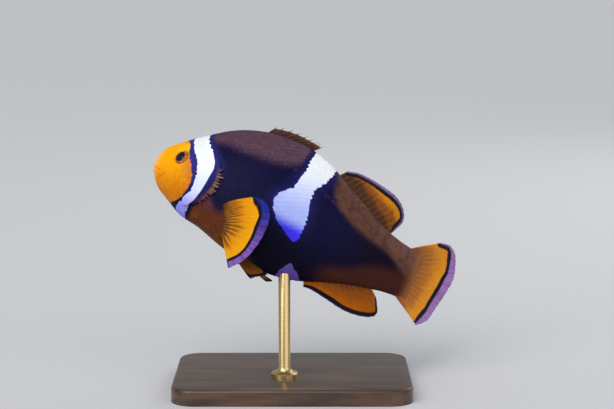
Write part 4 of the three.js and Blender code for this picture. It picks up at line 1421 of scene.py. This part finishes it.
def pectoral(name, side, splay, raised):
    def root(a, rise=-PAIRED_ROOT):
        z = BODY_LENGTH * lerp(-0.095, -0.168, a)
        return flank(lerp(0.334, 0.362, a), z, side, np.full_like(a, rise))

    def tip(a):
        up = np.radians(along([[at, turn] for at, turn, _ in PECTORAL], a) + raised)
        length = BODY_LENGTH * along([[at, long] for at, _, long in PECTORAL], a)
        out = side * math.sin(math.radians(splay))
        back = math.cos(math.radians(splay))
        way = points(np.cos(up) * back, np.cos(up) * out, np.sin(up))
        return root(a, 0.0) + length[..., None] * way

    def lean(a, r):
        belly = 1.3 * np.sin(np.pi * r) * np.sin(np.pi * a)
        return side * MM * (belly + 1.6 * (1 - a) ** 1.5 * np.sin(0.5 * np.pi * r))

    piece = fin(
        name + "_skin", 16, 52, root, tip,
        lean=lean,
        bow=lambda a, r: 0.8 * MM * (1 - a) ** 1.5 * np.sin(np.pi * r**0.6),
        stiff_at=0.35 * BODY_LENGTH,
        side_rim=0.25,
    )
    finish_piece(piece, pectoral_paint, "fin_orange", name)


pectoral("pectoral_fin_left", -1, 31, 0)
pectoral("pectoral_fin_right", 1, 34, 20)

# %% Pelvic fins
pelvic_paint = fin_finish(
    "pelvic_membrane", 6, ((0.05, 0.015, 0.006), (0.1, 0.03, 0.005), (0.18, 0.055, 0.003)),
    (0.1, 0.5, 0.9), 2.2, 0.0, 0.5, NO_RIM, (PALE_MAUVE, PALE_MAUVE),
)


def pelvic(name, side, down, outward):
    def root(a, rise=-PAIRED_ROOT):
        z = BODY_LENGTH * lerp(-0.178, -0.2, a)
        return flank(lerp(0.345, 0.38, a), z, side, np.full_like(a, rise))

    def tip(a):
        length = BODY_LENGTH * lerp(0.202, 0.184, a**1.5)
        dip = np.radians(lerp(*down, a))
        out = np.radians(lerp(*outward, a))
        way = points(np.cos(dip) * np.cos(out), side * np.sin(out), -np.sin(dip))
        return root(a, 0.0) + length[..., None] * way

    piece = fin(
        name + "_skin", 6, 44, root, tip,
        lean=lambda a, r: side * 0.8 * MM * np.sin(np.pi * r),
        stiff_at=0.36 * BODY_LENGTH,
    )
    finish_piece(piece, pelvic_paint, "fin_orange", name)


pelvic("pelvic_fin_left", -1, (31, 13), (14, 9))
pelvic("pelvic_fin_right", 1, (18, 11), (11, 9))

# %% [markdown]
# ## The stand
#
# A plain slab of dark wood with its edges eased, and a slim brass rod that stands in a small
# turned foot. The slab is a cube whose edges are bevelled, first the four uprights and then the
# rim. The rod is drawn as half its outline and spun round, as on a lathe.

# %% Wooden base
low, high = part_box("stand_base")
deselect()
bpy.ops.mesh.primitive_cube_add(size=1, location=(low + high) / 2, scale=high - low)
bpy.ops.object.transform_apply(location=True, rotation=True, scale=True)
slab = bpy.context.object
slab.name = slab.data.name = "stand_base_wood"


def select_edges(obj, wanted):
    """Selects the edges for which wanted(one end, other end) is true, and nothing else."""
    bpy.ops.object.mode_set(mode="EDIT")
    bpy.ops.mesh.select_mode(type="EDGE")
    bpy.ops.mesh.select_all(action="DESELECT")
    bpy.ops.object.mode_set(mode="OBJECT")
    for edge in obj.data.edges:
        a, b = (obj.data.vertices[i].co for i in edge.vertices)
        edge.select = wanted(a, b)
    bpy.ops.object.mode_set(mode="EDIT")


select_edges(slab, lambda a, b: (a.xy - b.xy).length < 1e-6)
bpy.ops.mesh.bevel(offset=6 * MM, offset_type="OFFSET", segments=12, affect="EDGES")
bpy.ops.object.mode_set(mode="OBJECT")
select_edges(slab, lambda a, b: min(a.z, b.z) > high.z - 1e-6)
bpy.ops.mesh.bevel(offset=0.7 * MM, offset_type="OFFSET", segments=4, affect="EDGES")
bpy.ops.object.mode_set(mode="OBJECT")
choose(slab)
bpy.ops.object.shade_smooth_by_angle(angle=math.radians(35))

wood = Finish("dark_wood", roughness=0.4, Coat_Weight=0.3, Coat_Roughness=0.2)
grain_place = wood.stretch(wood.node("TexCoord", output=3), (1.0, 9.0, 9.0))
rings = wood.noise(grain_place, 38.0, 5, 0.65)
fibre = wood.noise(wood.stretch(grain_place, (1.0, 12.0, 12.0)), 30.0, 3)
tint = wood.mix(wood.between(rings, 0.35, 0.65), (0.035, 0.016, 0.008), (0.11, 0.052, 0.024))
tint = wood.mix(wood.times(fibre, 0.35), tint, (0.02, 0.01, 0.006))
wood.join("Base Color", tint)
wood.join("Roughness", wood.times_plus(fibre, 0.25, 0.28))
wood.join("Normal", wood.relief(fibre, 0.00004))
finish_piece(slab, wood, "stand_base", "stand_base")

# %% Brass rod
_, rod_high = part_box("stand_rod")
foot = high.z
profile = [
    (3.4, 0.0), (3.4, 0.9), (3.1, 1.2), (2.2, 1.4), (1.75, 1.9), (1.5, 2.6),
    (1.5, (rod_high.z - foot) / MM + 0.1), (1.2, (rod_high.z - foot) / MM + 0.5), (0.0, 0.0),
]
profile[-1] = (0.0, profile[-2][1] + 0.2)
deselect()
bpy.ops.mesh.primitive_circle_add(vertices=len(profile) + 1, radius=1 * MM)
rod = bpy.context.object
rod.name = rod.data.name = "stand_rod_brass"
bpy.ops.object.mode_set(mode="EDIT")
bpy.ops.mesh.select_all(action="SELECT")
bpy.ops.mesh.delete(type="EDGE_FACE")
bpy.ops.object.mode_set(mode="OBJECT")
corners = [(0.0, 0.0), *profile]
for vertex, (radius, height) in zip(rod.data.vertices, corners):
    vertex.co = (ROD_XY[0] + radius * MM, ROD_XY[1], foot + height * MM)
bpy.ops.object.mode_set(mode="EDIT")
for k in range(len(corners) - 1):
    bpy.ops.mesh.select_all(action="DESELECT")
    bpy.ops.object.mode_set(mode="OBJECT")
    rod.data.vertices[k].select = rod.data.vertices[k + 1].select = True
    bpy.ops.object.mode_set(mode="EDIT")
    bpy.ops.mesh.edge_face_add()
bpy.ops.mesh.select_all(action="SELECT")
bpy.ops.mesh.spin(
    steps=48, angle=2 * math.pi, center=(*ROD_XY, foot), axis=(0, 0, 1), use_auto_merge=True
)
bpy.ops.object.mode_set(mode="OBJECT")
close_up(rod, 1e-6)
choose(rod)
bpy.ops.object.shade_smooth_by_angle(angle=math.radians(40))

brass = Finish("brass", roughness=0.3, Metallic=1.0)
turning = brass.noise(
    brass.stretch(brass.node("TexCoord", output=3), (1.0, 1.0, 40.0)), 90.0, 3
)
brass.join("Base Color", brass.mix(turning, (0.6, 0.43, 0.19), (0.68, 0.5, 0.24)))
brass.join("Roughness", brass.times_plus(turning, 0.12, 0.22))
brass.join("Normal", brass.relief(turning, 0.000003))
finish_piece(rod, brass, "stand_rod", "stand_rod")
